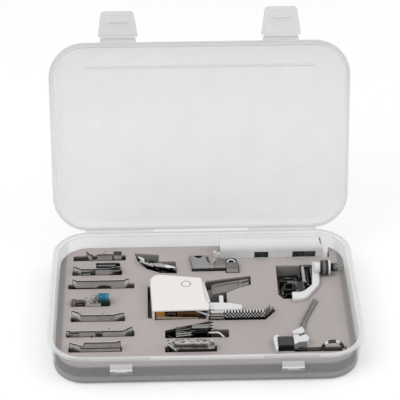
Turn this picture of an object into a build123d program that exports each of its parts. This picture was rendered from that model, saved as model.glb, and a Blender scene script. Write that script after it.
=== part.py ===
from build123d import *
import math
import os

# A sewing machine attachment box: a clear moulded case with a film-hinged lid, a die-cut foam
# insert, and fifteen presser feet that lift out of their pockets. Millimetres, +Z up, +Y to the
# back. The origin is the centre of the case's underside. The lid stands open.

# ---------------------------------------------------------------- case
case_width = 200.0
case_depth = 130.7
corner_radius = 24.0
base_height = 23.3
lid_height = 6.8
wall = 1.2
wall_lean = 0.8
rim_reach = 2.0
rim_thickness = 1.3
bead_width = 1.3
bead_height = 0.9
bead_gap_at_latch = 38.0
floor_radius = 2.6
closed_gap = 0.15
locating_rib = 0.9
locating_clearance = 0.35
panel_margin_side = 20.5
panel_margin_end = 17.4
panel_height = 0.7
lid_open_angle = 107.5

hinge_centre = 55.3
hinge_length = 47.0
hinge_offset = 0.5
film_thickness = 0.3

# ---------------------------------------------------------------- latches
latch_centre = 53.6
neck_width = 23.5
neck_length = 3.2
flap_width = 26.4
flap_tip_width = 21.0
flap_length = 19.6
flap_thickness = 1.2
flap_corner = 3.0
hook_distance = 12.4
hook_thickness = 1.5
hook_reach = 3.0
hook_width = 13.0
hook_clearance = 0.3
lug_width = 14.0
lug_height = 6.9
lug_engagement = 0.8
left_latch_fold = 18.0
right_latch_fold = 0.0

# ---------------------------------------------------------------- foam insert
foam_edge_gap = 0.7
sheet_edge_gap = 1.8
sheet_thickness = 2.0
foam_thickness = 10.1
pocket_gap = 0.35
seat_gap = 0.3

# ---------------------------------------------------------------- shared foot sizes
sole_thickness = 1.3
foot_width = 14.5
pin_radius = 1.0
ear_wall = 0.8
ear_thickness = 1.2
running_clearance = 0.06

# ---------------------------------------------------------------- derived levels
sheet_top = wall + sheet_thickness
foam_top = sheet_top + foam_thickness
seat_level = sheet_top + seat_gap
over_foam = foam_top - seat_level + pocket_gap
hinge_y = case_depth / 2 + hinge_offset
hinge_z = base_height + closed_gap / 2
lid_rim_z = base_height + closed_gap
film_line_y = -case_depth / 2 - neck_length
wall_top_y = case_depth / 2 - rim_reach
foam_half_width = case_width / 2 - rim_reach - wall_lean - wall - foam_edge_gap
foam_half_depth = case_depth / 2 - rim_reach - wall_lean - wall - foam_edge_gap


# ---------------------------------------------------------------- small helpers
def box(x0, x1, y0, y1, z0, z1):
    """A block between two opposite corners."""
    return Pos((x0 + x1) / 2, (y0 + y1) / 2, (z0 + z1) / 2) * Box(x1 - x0, y1 - y0, z1 - z0)


def strip(points, thickness, bend):
    """Outline of a bent metal strip of even thickness along a centre line."""
    line = FilletPolyline(*points, radius=bend) if len(points) > 2 else Polyline(*points)
    return trace(line, thickness)


def sheet(points, radius=0.0):
    """A flat outline through corner points, its corners rounded."""
    outline = make_face(Polyline(*points, close=True))
    if radius > 0:
        outline = fillet(outline.vertices(), radius)
    return outline


def raised(outline, z0, z1):
    """A flat outline made solid between two levels."""
    return Pos(0, 0, z0) * extrude(outline, z1 - z0)


def rod(start, end, radius):
    """A round rod between two points."""
    start = Vector(*start)
    end = Vector(*end)
    plane = Plane(origin=start, z_dir=end - start)
    return plane * extrude(Circle(radius), (end - start).length)


class Slot:
    """A straight foam pocket: the room that a foot fills, from its left front corner."""

    def __init__(self, x, y, length, depth):
        self.x = x
        self.y = y
        self.length = length
        self.depth = depth

    def outline(self):
        middle = Pos(self.x + self.length / 2, self.y + self.depth / 2)
        return middle * RectangleRounded(self.length + 2 * pocket_gap, self.depth + 2 * pocket_gap, 0.8)

    def seat(self):
        return Pos(self.x, self.y, seat_level)


zipper_slot = Slot(-86.45, 46.65, 34.7, 5.0)
hemmer_slot = Slot(-86.75, 30.9, 32.6, 4.4)
plate_slot = Slot(-89.05, 16.55, 43.2, 4.6)
guide_slot = Slot(-86.45, -1.65, 24.8, 5.6)
sled_slot = Slot(-86.25, -16.95, 34.4, 4.3)
overcast_slot = Slot(-88.65, -32.15, 42.9, 5.3)
blind_slot = Slot(-86.85, -46.65, 33.3, 4.3)
binder_slot = Slot(-25.55, -34.65, 40.3, 7.3)
satin_slot = Slot(-25.75, -48.15, 32.2, 5.0)
buttonhole_slot = Slot(12.3, 46.5, 73.9, 12.4)


# ---------------------------------------------------------------- case
def moulded_tray(height, radius):
    """A thin tray, open at the top, whose walls lean in to a rounded floor, with a flat rim."""
    lean_angle = math.degrees(math.atan(wall_lean / height))
    foot_x = case_width - 2 * (rim_reach + wall_lean)
    foot_y = case_depth - 2 * (rim_reach + wall_lean)
    foot_radius = corner_radius - rim_reach - wall_lean
    outside = extrude(RectangleRounded(foot_x, foot_y, foot_radius), height, taper=-lean_angle)
    outside = fillet(outside.edges().group_by(Axis.Z)[0], radius)
    hollow = RectangleRounded(foot_x - 2 * wall, foot_y - 2 * wall, foot_radius - wall)
    inside = extrude(hollow, height - wall + 1, taper=-lean_angle)
    inside = fillet(inside.edges().group_by(Axis.Z)[0], radius - wall)
    rim = raised(RectangleRounded(case_width, case_depth, corner_radius), height - rim_thickness, height)
    return outside + rim - Pos(0, 0, wall) * inside


def catch_lug(x):
    """A wedge under the front rim that the latch's hook snaps below."""
    hook_top = lid_rim_z - hook_distance
    front = film_line_y + hook_reach - lug_engagement
    bottom = hook_top + hook_clearance
    back = -wall_top_y + wall_lean
    top = bottom + lug_height
    crest = bottom + 0.45 * lug_height
    profile = make_face(Polyline((back, bottom), (front, bottom), (front, crest), (-wall_top_y, top),
                                 (back, top), close=True))
    wedge = extrude(Plane.YZ * profile, lug_width / 2, both=True)
    return Pos(x, 0, 0) * wedge


def base_tray():
    tray = moulded_tray(base_height - bead_height, floor_radius)
    ring = RectangleRounded(case_width, case_depth, corner_radius)
    ring -= RectangleRounded(case_width - 2 * bead_width, case_depth - 2 * bead_width,
                             corner_radius - bead_width)
    bead = raised(ring, base_height - bead_height - 0.3, base_height)
    for side in (-1, 1):
        break_x = side * latch_centre
        bead -= box(break_x - bead_gap_at_latch / 2, break_x + bead_gap_at_latch / 2,
                    -case_depth / 2 - 1, -case_depth / 2 + 4, base_height - bead_height, base_height + 1)
    tray += bead
    for side in (-1, 1):
        tray += catch_lug(side * latch_centre)
    return tray


def opened(shape):
    """Swings a piece of the closed lid to where the lid stands open."""
    return shape.rotate(Axis((0, hinge_y, hinge_z), (1, 0, 0)), -lid_open_angle)


def closed_lid():
    """The lid as it lies on the base: a shallow tray turned over, with its latch necks."""
    shell = Rot(180, 0, 0) * moulded_tray(lid_height, 2.2)
    shell = Pos(0, 0, lid_rim_z + lid_height) * shell
    top = lid_rim_z + lid_height
    panel_x = case_width - 2 * panel_margin_side
    panel_y = case_depth - 2 * panel_margin_end
    shell += raised(RectangleRounded(panel_x, panel_y, 5), top - 0.2, top + panel_height)
    shell -= raised(RectangleRounded(panel_x - 2 * wall, panel_y - 2 * wall, 5 - wall),
                    top - wall - 0.1, top + panel_height - wall)
    rib_edge = bead_width + locating_clearance
    rib = RectangleRounded(case_width - 2 * rib_edge, case_depth - 2 * rib_edge, corner_radius - rib_edge)
    rib -= RectangleRounded(case_width - 2 * (rib_edge + locating_rib),
                            case_depth - 2 * (rib_edge + locating_rib),
                            corner_radius - rib_edge - locating_rib)
    shell += raised(rib, lid_rim_z - bead_height + closed_gap, lid_rim_z + 0.2)
    for side in (-1, 1):
        middle = side * latch_centre
        shell += box(middle - neck_width / 2, middle + neck_width / 2, film_line_y + hinge_offset,
                     -case_depth / 2 + 1, lid_rim_z, lid_rim_z + rim_thickness)
    return shell


def film(length, reach, level):
    """Half of a film hinge along X at the origin: a thin web and the rounded fold line."""
    web = box(-length / 2, length / 2, min(0, reach), max(0, reach), min(0, level), max(0, level))
    fold = Rot(0, 90, 0) * Cylinder(film_thickness * 0.9, length)
    return web + fold


def latch(side, fold):
    """A tapered flap with a hook ridge inside and a finger lip at its tip."""
    half = flap_width / 2
    tip_half = flap_tip_width / 2
    root = -hinge_offset
    outline = make_face(Polyline((-half, root), (half, root), (tip_half, -flap_length),
                                 (-tip_half, -flap_length), close=True))
    outline = fillet(outline.vertices().group_by(Axis.Y)[0], flap_corner)
    outline = fillet(outline.vertices().group_by(Axis.Y)[-1], 1.0)
    flap = extrude(outline, flap_thickness)
    border = offset(outline, -1.1)
    flap -= Pos(0, 0, flap_thickness - 0.35) * extrude(border, 1)
    hook = make_face(Polyline((-hook_distance, 0.2), (-hook_distance, -hook_reach),
                              (-hook_distance - 0.6, -hook_reach), (-hook_distance - hook_thickness, 0.2),
                              close=True))
    flap += extrude(Plane.YZ * hook, hook_width / 2, both=True)
    lip = Pos(0, -flap_length + 1.6, 0) * Rot(0, 90, 0) * Cylinder(0.6, flap_tip_width - 2 * flap_corner)
    flap += lip
    flap = flap.rotate(Axis.X, fold)
    return opened(Pos(side * latch_centre, film_line_y, lid_rim_z) * flap)


def case_pieces():
    pieces = {"base_tray": base_tray(), "lid_shell": opened(closed_lid())}
    for name, side, fold in (("left", -1, left_latch_fold), ("right", 1, right_latch_fold)):
        hinge = film(hinge_length, -hinge_offset, -film_thickness)
        pieces["hinge_film_" + name] = Pos(side * hinge_centre, hinge_y, hinge_z) * hinge
        latch_film = film(neck_width - 1, hinge_offset, film_thickness)
        pieces["latch_film_" + name] = opened(Pos(side * latch_centre, film_line_y, lid_rim_z) * latch_film)
        pieces["latch_" + name] = latch(side, fold)
    return pieces


# ---------------------------------------------------------------- foot parts that repeat
def snap_ears(x, depth, spacing, width):
    """Two ears on a sole's upper face, with holes for the clip-on pin."""
    reach = pin_radius + ear_wall
    stem = depth - reach - sole_thickness / 2
    ear = Pos(x, depth - reach) * Circle(reach) + Pos(x, depth - reach - stem / 2) * Rectangle(2 * reach, stem)
    ear -= Pos(x, depth - reach) * Circle(pin_radius)
    low = width / 2 - spacing / 2
    return [raised(ear, low - ear_thickness, low), raised(ear, low + spacing, low + spacing + ear_thickness)]


def snap_pin(x, depth, spacing, width):
    """The cross pin that the ears hold."""
    reach = pin_radius + ear_wall
    return Pos(x, depth - reach, width / 2) * Cylinder(pin_radius, spacing + 2 * ear_thickness + 0.6)


def with_snap_pin(sole, x, depth, spacing, width):
    """A metal sole with its ears and its brazed pin."""
    return sole + snap_ears(x, depth, spacing, width) + snap_pin(x, depth, spacing, width)


def through_slot(x, z, length, height):
    """A long round-ended opening to cut through a sole that stands on edge."""
    return Pos(x, -1, z) * Rot(-90, 0, 0) * extrude(SlotOverall(length, height), 4)


def soften(solid, axis, side, radius):
    """Rounds the edges along one axis that lie at one side of a block."""
    return fillet(solid.edges().filter_by(side[0]).group_by(axis)[side[1]], radius)


# ---------------------------------------------------------------- left column of feet
zipper_bar_x = 20.6
zipper_block_height = 4.6


def zipper_foot():
    """A narrow sole with needle notches, and a clamp that slides along a cross bar."""
    slot = zipper_slot
    depth = slot.depth
    middle = foot_width / 2
    line = [(8.8, depth - 0.8), (10.6, sole_thickness / 2), (26.4, sole_thickness / 2)]
    sole = extrude(strip(line, sole_thickness, 1.6), foot_width)
    sole -= box(12.8, 15.6, -1, depth, 9.4, foot_width + 1)
    sole -= box(12.8, 15.6, -1, depth, -1, 4.6)
    corner = sheet([(7, depth + 1), (11.6, depth + 1), (11.6, 2.6)])
    sole -= raised(corner, foot_width - 1.2, foot_width + 1)
    sole = with_snap_pin(sole, zipper_bar_x, depth, 9.0, foot_width)
    bar_y = depth - pin_radius - ear_wall
    low = middle - zipper_block_height / 2
    high = middle + zipper_block_height / 2
    block = box(zipper_bar_x - 2.4, zipper_bar_x + 2.4, sole_thickness + 0.3, depth, low, high)
    arm = box(zipper_bar_x + 2, slot.length - 7.6, depth - 2.0, depth, low, high)
    clamp = box(slot.length - 7.9, slot.length - 2.4, 0.4, depth, low - 3.4, middle + 6.6)
    clamp -= box(slot.length - 8.5, slot.length - 3.6, 1.6, depth - 1.2, low - 3.5, middle + 5.6)
    clamp = soften(clamp, Axis.X, (Axis.Z, -1), 0.7)
    slide = block + arm + clamp
    slide -= Pos(zipper_bar_x, bar_y, middle) * Cylinder(pin_radius + running_clearance, 3 * foot_width)
    return slot.seat(), {"zipper_foot_sole": sole, "zipper_foot_clamp": slide}


def hemmer_foot():
    """A sole with a needle slot and an open scroll that rolls the fabric's edge."""
    slot = hemmer_slot
    depth = slot.depth
    line = [(0.5, depth - 0.5), (5.8, sole_thickness / 2), (24, sole_thickness / 2), (slot.length - 0.5, 2.6)]
    sole = extrude(strip(line, sole_thickness, 3.0), foot_width)
    sole -= through_slot(9.0, foot_width - 3.4, 6.4, 2.4)
    sole -= box(12.4, 14.9, -1, depth, 8.0, foot_width + 1)
    sole = with_snap_pin(sole, 19.5, depth, 5.0, foot_width - 5.5)
    outer = 3.3
    leaf = 0.7
    level = over_foam + outer
    mouth = Rot(0, 0, 126) * Pos(0, outer) * Rectangle(4.2, 2 * outer)
    scroll = Pos(15.6, outer, level) * Rot(0, 90, 0) * extrude(Circle(outer) - Circle(outer - leaf) - mouth, 16.2)
    scroll -= Pos(slot.length - 2, outer, level + 4.2) * Rot(0, 32, 0) * Box(12, 12, 4)
    curl = Circle(1.5) - Circle(0.9) - Rot(0, 0, -120) * Pos(0, 1.2) * Rectangle(1.2, 2.4)
    curl = Pos(16.4, outer + 0.9, level + 1.0) * Rot(0, 90, 0) * extrude(curl, 12.6)
    seat = box(15.6, 18.2, 0.2, 2.6, foot_width - 4, level - outer + 0.6)
    sole += [scroll, curl, seat]
    screw_y = sole_thickness + 0.9
    screw_z = level - 2.2
    head = Pos(13.6, screw_y, screw_z) * Rot(0, 90, 0) * Cylinder(1.8, 2.0)
    shank = Pos(15.1, screw_y, screw_z) * Rot(0, 90, 0) * Cylinder(0.8, 1.0)
    screw = head + shank - Pos(12.6, screw_y, screw_z) * Box(0.8, 0.6, 4.2)
    return slot.seat(), {"hemmer_foot": sole, "hemmer_foot_screw": screw}


def plate_foot():
    """A wide flat sole, turned up at both ends, round a large needle opening."""
    slot = plate_slot
    depth = slot.depth
    line = [(3.0, depth - 2.0), (5.4, sole_thickness / 2), (37.0, sole_thickness / 2), (39.8, depth - 1.8)]
    sole = extrude(strip(line, sole_thickness, 2.4), foot_width + 1.5)
    sole -= through_slot(23.4, 7.4, 11.6, 9.6)
    rib = soften(box(14.5, 17.0, sole_thickness - 0.2, 3.0, 1.2, foot_width), Axis.Y, (Axis.Z, -1), 0.6)
    return slot.seat(), {"plate_foot": with_snap_pin(sole + rib, 11.0, depth, 6.0, foot_width)}


def edge_guide_foot():
    """A clear foot with a heel flange and stepped toes, and a blue guide on a metal rod."""
    slot = guide_slot
    depth = slot.depth
    rod_x = 21.2
    rod_y = depth / 2 + 0.6
    rod_radius = 1.1
    flange = soften(box(0, 2.8, 0, depth, 0, 12.6), Axis.Z, (Axis.X, -1), 1.8)
    neck = box(2.6, 9.4, depth - 3.2, depth - 0.4, 1.5, 11.2)
    sole = box(8.6, 19.2, 0, 2.2, 0, 12.2)
    step_low = box(9.0, 13.2, 0.4, depth - 0.5, 1.0, 13.2)
    step_high = soften(box(13.0, 17.2, 0.4, depth - 0.2, 1.0, 15.2), Axis.Z, (Axis.X, -1), 0.9)
    bracket = box(17.0, 23.4, 2.4, depth - 0.2, 0.4, 1.8)
    foot = flange + neck + sole + step_low + step_high + bracket
    foot -= box(10.2, 12.2, -1, 3.0, 3.5, 8.5)
    rod_low = 0.5
    rod_high = 15.1
    post = Pos(rod_x, rod_y, rod_low) * extrude(Circle(rod_radius), rod_high - rod_low)
    foot -= post
    block = box(17.5, slot.length - 0.2, 0.1, depth - 0.1, 2.8, 16.6)
    block = fillet(block.edges().filter_by(Axis.Z), 0.7)
    block = chamfer(block.edges().group_by(Axis.Z)[-1], 0.4)
    block -= Pos(rod_x, rod_y, 0) * extrude(Circle(rod_radius + running_clearance), rod_high + 0.2)
    block -= box(17, 19.4, -1, 2.4, 2, 12.4)
    return slot.seat(), {"edge_guide_foot": foot, "edge_guide_rod": post, "edge_guide_blue": block}


def sled_foot():
    """A slim sled sole with a long raised toe, split for the needle."""
    slot = sled_slot
    depth = slot.depth
    line = [(0.6, depth - 0.6), (6.8, sole_thickness / 2), (27.5, sole_thickness / 2), (slot.length - 0.5, 2.9)]
    sole = extrude(strip(line, sole_thickness, 5.0), foot_width)
    tall_toe = raised(strip(line[:2], sole_thickness, 0), foot_width - 0.5, foot_width + 1.6)
    tall_toe -= Pos(5.6, depth / 2, foot_width + 2.2) * Rot(0, 35, 0) * Box(8, 12, 2)
    sole += tall_toe
    sole -= through_slot(16.0, 5.2, 7.0, 3.0)
    sole -= box(-1, 9.5, -1, depth + 1, 5.4, 8.4)
    sole -= Pos(23.0, 0.0, 8.5) * Rot(0, 90, 0) * Cylinder(0.7, 14)
    return slot.seat(), {"sled_foot": with_snap_pin(sole, 17.0, depth, 6.0, foot_width)}


def overcast_foot():
    """A long flat foot with two windows in its edge and a stitch finger across one."""
    slot = overcast_slot
    depth = slot.depth
    width = foot_width - 0.5
    finger_z = width - 3.4
    line = [(0.4, 1.9), (3.2, sole_thickness / 2), (36.4, sole_thickness / 2), (slot.length - 1.2, depth - 0.8)]
    sole = extrude(strip(line, sole_thickness, 3.0), width)
    sole -= box(1.9, 7.6, -1, depth + 1, width - 3.2, width - 1.0)
    sole -= box(18.8, 22.6, -1, depth + 1, width - 5.6, width + 1)
    sole -= box(18.8, 22.6, -1, depth + 1, 2.0, 4.6)
    heel = soften(box(8.4, 18.2, sole_thickness - 0.1, 2.4, 3.0, width - 2.5), Axis.Y, (Axis.Z, -1), 0.6)
    finger = rod((17.6, 1.9, finger_z), (24.6, 1.9, finger_z), 0.5)
    foot = with_snap_pin(sole + heel, 26.5, depth, 5.4, width)
    return slot.seat(), {"overcast_foot": foot + finger}


def blind_hem_foot():
    """A flat sole with a bevelled toe and an upright blade on its edge that guides the fold."""
    slot = blind_slot
    depth = slot.depth
    end = slot.length - 0.4
    seam = 12.6
    line = [(0.6, depth - 0.6), (7.6, sole_thickness / 2), (end, sole_thickness / 2)]
    sole = extrude(strip(line, sole_thickness, 4.0), foot_width)
    sole -= box(8.2, end + 1, -1, depth + 1, seam, foot_width + 1)
    sole -= through_slot(12.5, 6.4, 5.4, 2.6)
    blade = [(8.4, seam), (10.4, 16.9), (29.4, 16.9), (31.4, 17.8), (end, 17.8), (end, seam)]
    blade = Pos(0, sole_thickness, 0) * extrude(Plane.XZ * sheet(blade, 0.2), sole_thickness - 0.1)
    blade += box(10.6, 31.0, sole_thickness - 0.1, sole_thickness + 0.8, seam + 0.2, 16.0)
    blade += box(10.6, 31.0, sole_thickness, sole_thickness + 0.8, seam - 0.9, seam + 0.4)
    return slot.seat(), {"blind_hem_foot": with_snap_pin(sole, 16.5, depth, 5.6, foot_width),
                         "blind_hem_blade": blade}


# ---------------------------------------------------------------- middle feet
def binder_foot():
    """A binder foot that rises to the right: body, folding scrolls and their guide wire."""
    slot = binder_slot
    depth = slot.depth
    end = 29.4
    side = [(0, 0), (end - 0.4, 0), (end - 0.4, 17.2), (16.4, 14.2), (6.8, 11.8), (0, 9.6)]
    body = Pos(0, depth, 0) * extrude(Plane.XZ * sheet(side, 0.8), 2.2)
    sole_line = [(0.9, 3.4), (4.4, sole_thickness / 2), (end - 2, sole_thickness / 2)]
    sole = raised(strip(sole_line, sole_thickness, 2.5), 0, 9.4)
    web = box(9, end - 3, 1, depth - 2, 1.5, 4.5)
    stubs = []
    for step in range(3):
        level = 11.2 + 2.4 * step
        stub = rod((end - 0.6, depth - 1.1, level), (end + 0.9, depth - 1.1, level), 1.0)
        stubs.append(chamfer(stub.edges().group_by(Axis.X)[-1], 0.4))
    body += [sole, web] + stubs
    plate_y = depth - 2.25
    tube_y = sole_thickness + 1.1
    channel = Rectangle(4.4, 4.2) - Pos(0, 0.8) * Rectangle(3.0, 4.2)
    channel = Pos(6.6, tube_y + 0.1, 12.5) * Rot(0, -2, 0) * extrude(Plane.YZ * channel, 11.4)
    fold = strip([(tube_y - 0.4, 12.0), (tube_y - 0.4, 16.2), (plate_y, 16.2)], 0.8, 1.0)
    folder = Pos(17.0, 0, 0) * extrude(Plane.YZ * fold, end - 19.0)
    folder += box(17.0, end - 2.0, plate_y - 0.9, plate_y, 9.8, 16.2)
    folder += box(end - 2.9, end - 2.0, tube_y - 0.8, plate_y, 9.4, 16.2)
    wire_level = over_foam + 1.45
    route = FilletPolyline((end - 2.4, tube_y, wire_level), (end + 4.6, tube_y, wire_level),
                           (end + 7.8, -2.2, wire_level), radius=3.0)
    wire = sweep(Plane(origin=route @ 0, z_dir=route % 0) * Circle(0.55), path=route)
    folder += [channel, wire]
    return slot.seat(), {"binder_foot": body, "binder_folder": folder}


def satin_foot():
    """A clear foot with side walls all round, a stitch tunnel under it and a metal snap bar inside."""
    slot = satin_slot
    depth = slot.depth
    width = foot_width + 1.5
    end = slot.length - 1.2
    front = 0.3
    side_wall = 1.6
    plan = [(1.2, depth - front), (end, depth - front), (end, front), (7.6, front), (1.2, depth - 2.0)]
    sole = raised(sheet(plan, 0.6), 0, width)
    sole -= box(8.6, end - side_wall, front + 1.8, depth, side_wall, width - side_wall)
    sole -= Pos(14.6, 0, width - 2.8) * Rot(-90, 0, 0) * extrude(SlotOverall(19.6, 2.8), 1.2)
    sole -= through_slot(14.0, 5.2, 8.0, 4.0)
    sole += snap_ears(19.0, depth, 6.4, width)
    bar = snap_pin(19.0, depth, 6.4, width)
    hook_plate = box(19.0, 22.6, depth - 2.2, depth - 1.2, width / 2 - 2.2, width / 2 + 2.2)
    return slot.seat(), {"satin_foot": sole, "satin_foot_bar": bar + hook_plate}


gathering_pocket = [(-45.7, 54.0), (-28.9, 51.9), (-29.2, 44.3), (-17.8, 44.4), (-16.9, 31.1), (-28.4, 32.0),
                    (-37.1, 36.5), (-43.8, 46.0)]


def gathering_foot():
    """A cranked foot that lies across its pocket, with a stepped sole and a folded flange."""
    line = [(-42.9, 46.6), (-36.9, 39.4), (-28.6, 36.4), (-18.0, 33.4)]
    sole = extrude(strip(line, 1.4, 2.5), 12.6)
    heel = extrude(strip([(-41.8, 46.4), (-38.4, 43.2)], 2.2, 0), 11.8)
    flange = sheet([(-36.6, 39.6), (-28.0, 38.6), (-18.2, 34.4), (-17.6, 32.8), (-24.5, 33.6), (-31.0, 35.0)],
                   0.5)
    flange = raised(flange, 11.8, 13.0)
    block = raised(sheet([(-36.4, 40.4), (-32.4, 38.2), (-30.8, 41.0), (-34.6, 43.2)], 0.4), 3.0, 12.4)
    bar = rod((-33.6, 40.7, 8.6), (-29.8, 43.1, 8.6), 1.0)
    sole -= box(-27.5, -23.5, 30, 40, 4.0, 9.0)
    bridge = rod((-41.8, 41.6, 12.6), (-32.6, 36.0, 12.6), 0.8)
    foot = sole + heel + flange + block - bar - bridge
    return Pos(0, 0, seat_level), {"gathering_foot": foot, "gathering_foot_bars": bar + bridge}


low_shank_pocket = [(-7.2, 32.9), (15.6, 32.9), (15.6, 30.7), (24.8, 30.5), (24.8, 38.0), (23.6, 43.9),
                    (8.6, 43.9), (7.6, 37.6), (7.6, 35.6), (-7.2, 35.6)]


def low_shank_foot():
    """A low-shank foot on its side: a slotted shank on a spine, the neck block and an arched sole."""
    rise = over_foam
    top = rise + 1.8
    neck_start = 8.0
    neck_end = 16.0
    front = 33.3
    plate = raised(sheet([(-8.2, 48.1), (4.0, 48.3), (5.9, 35.3), (-6.8, 35.4)], 0.8), rise, top)
    moon = Pos(-2.3, 47.2) * (Circle(2.7) - Pos(0, 3) * Rectangle(8, 6))
    slit = sheet([(2.8, 45.8), (3.5, 45.8), (4.7, 39.4), (4.0, 39.4)])
    plate -= raised(moon + slit, rise - 1, top + 1)
    spine = box(-6.6, neck_start, front, front + 1.7, 0, top) + box(-6.6, neck_start, front, 36.2, rise, top)

    block = raised(sheet([(neck_start, front), (neck_end, front), (neck_end, 43.4), (9.5, 43.2),
                          (neck_start, 37.4)], 0.4), 0, top)
    slope = sheet([(front - 1, rise - 1), (front + 3.8, top), (front + 3.8, top + 1), (front - 1, top + 1)])
    block -= Pos(neck_start - 1, 0, 0) * extrude(Plane.YZ * slope, neck_end - neck_start + 2)

    toe = sheet([(neck_end, 31.2), (24.2, 31.0), (22.9, 41.7), (neck_end, 41.8)])
    toe = fillet(toe.vertices().sort_by(Axis.Y)[-2:], 2.4)
    shoe = raised(toe, 0, top + 1.6)
    shoe -= raised(offset(toe, -1.3), -1, top + 0.2)
    shoe -= box(neck_end + 1.6, 22.6, 30, 33, -1, rise - 1.6)
    shoe -= box(neck_end + 1.6, 21.2, 37.6, 39.4, rise, top + 2)
    return Pos(0, 0, seat_level), {"low_shank_shank": plate + spine, "low_shank_block": block,
                                   "low_shank_sole": shoe}


# ---------------------------------------------------------------- buttonhole foot
frame_wall = 1.4
frame_straight = 15.4
slider_clearance = 0.3


def buttonhole_foot():
    """A long white frame with a rounded top and side windows, over the slider that runs in it."""
    slot = buttonhole_slot
    half = slot.depth / 2
    length = 69.8
    section = Pos(0, frame_straight / 2) * Rectangle(slot.depth, frame_straight)
    section += Pos(0, frame_straight) * Circle(half)
    hollow = Pos(0, frame_straight / 2 - 1) * Rectangle(slot.depth - 2 * frame_wall, frame_straight + 2)
    hollow += Pos(0, frame_straight) * Circle(half - frame_wall)
    frame = Pos(0, half, 0) * extrude(Plane.YZ * section, length)
    frame -= Pos(frame_wall, half, 0) * extrude(Plane.YZ * hollow, length - 2 * frame_wall)
    frame -= Pos(length + 2.2, half, 19.4) * Rot(0, -26, 0) * Box(7.6, 20, 26)
    end_wall = Pos(length - 2.2, half, 0) * extrude(Plane.YZ * hollow, 1.0)
    frame += end_wall & box(0, length, 0, slot.depth, 0, 8.2)
    window_low = 9.2
    window_high = 14.9
    for start, stop in ((23.2, 32.7), (49.0, 64.7)):
        frame -= box(start, stop, -1, frame_wall + 0.1, window_low, window_high)
    nub_level = over_foam
    nub = soften(box(-4.4, 0, 0.6, 3.0, nub_level, nub_level + 3.0), Axis.X, (Axis.Z, 0), 1.1)
    knob = Pos(-3.4, 1.8, nub_level + 2.8) * extrude(Circle(1.1), 1.9)
    nub += chamfer(knob.edges().group_by(Axis.Z)[-1], 0.4)
    inset = frame_wall + slider_clearance
    slider = box(18.6, 56.6, inset, slot.depth - inset, 0.2, frame_straight + 1.2)
    slider = chamfer(slider.edges().filter_by(Axis.X).group_by(Axis.Z)[-1], 2.2)
    for groove in range(8):
        slider -= box(21 + 4.4 * groove, 22.6 + 4.4 * groove, inset - 1, inset + 0.5, 2, 15)
    return slot.seat(), {"buttonhole_frame": frame, "buttonhole_stop": nub, "buttonhole_slider": slider}


# ---------------------------------------------------------------- side cutter
cutter_pocket = [(49.4, 37.8), (74.6, 37.4), (74.6, 14.0), (66.0, 6.5), (57.8, 2.4), (52.4, 2.4), (49.2, 6.8)]
cutter_bracket_level = over_foam
cutter_bracket_thickness = 2.6
nut_radius = 4.9
nut_width = 4.4
nut_ridges = 18
screw_radius = 1.9
cutter_screw_y = 28.3
cutter_foot_edge = 6.3


def cutter_bracket():
    """The white curved bracket: a straight leg for the clamp screw and a sickle-shaped foot."""
    corners = [(73.9, 37.9), (78.6, 37.8), (77.0, 15.0), (66.4, -0.9), (58.0, -1.1),
               (58.0, cutter_foot_edge), (65.4, cutter_foot_edge), (72.0, 14.0)]
    bends = [0.5, 0.5, 7.0, 8.0, 0.5, 0.5, 6.0, 5.0]
    outline = make_face(FilletPolyline(*corners, radius=bends, close=True))
    plate = extrude(outline, cutter_bracket_thickness)
    plate = fillet(plate.faces().sort_by(Axis.Z)[-1].edges(), 0.6)
    boss = rod((74.2, cutter_screw_y, nut_radius), (78.2, cutter_screw_y, nut_radius), 3.6)
    bracket = plate + boss
    bracket -= rod((74.6, cutter_screw_y, nut_radius), (85, cutter_screw_y, nut_radius), screw_radius)
    return Pos(0, 0, cutter_bracket_level) * bracket


def thumb_nut():
    """A ridged nut that turns on the clamp screw."""
    face = Circle(nut_radius - 0.3)
    for ridge in range(nut_ridges):
        face += Rot(0, 0, ridge * 360 / nut_ridges) * Pos(nut_radius - 0.45, 0) * Rectangle(0.9, 0.9)
    face -= Circle(screw_radius + running_clearance)
    return extrude(face, nut_width)


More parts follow.
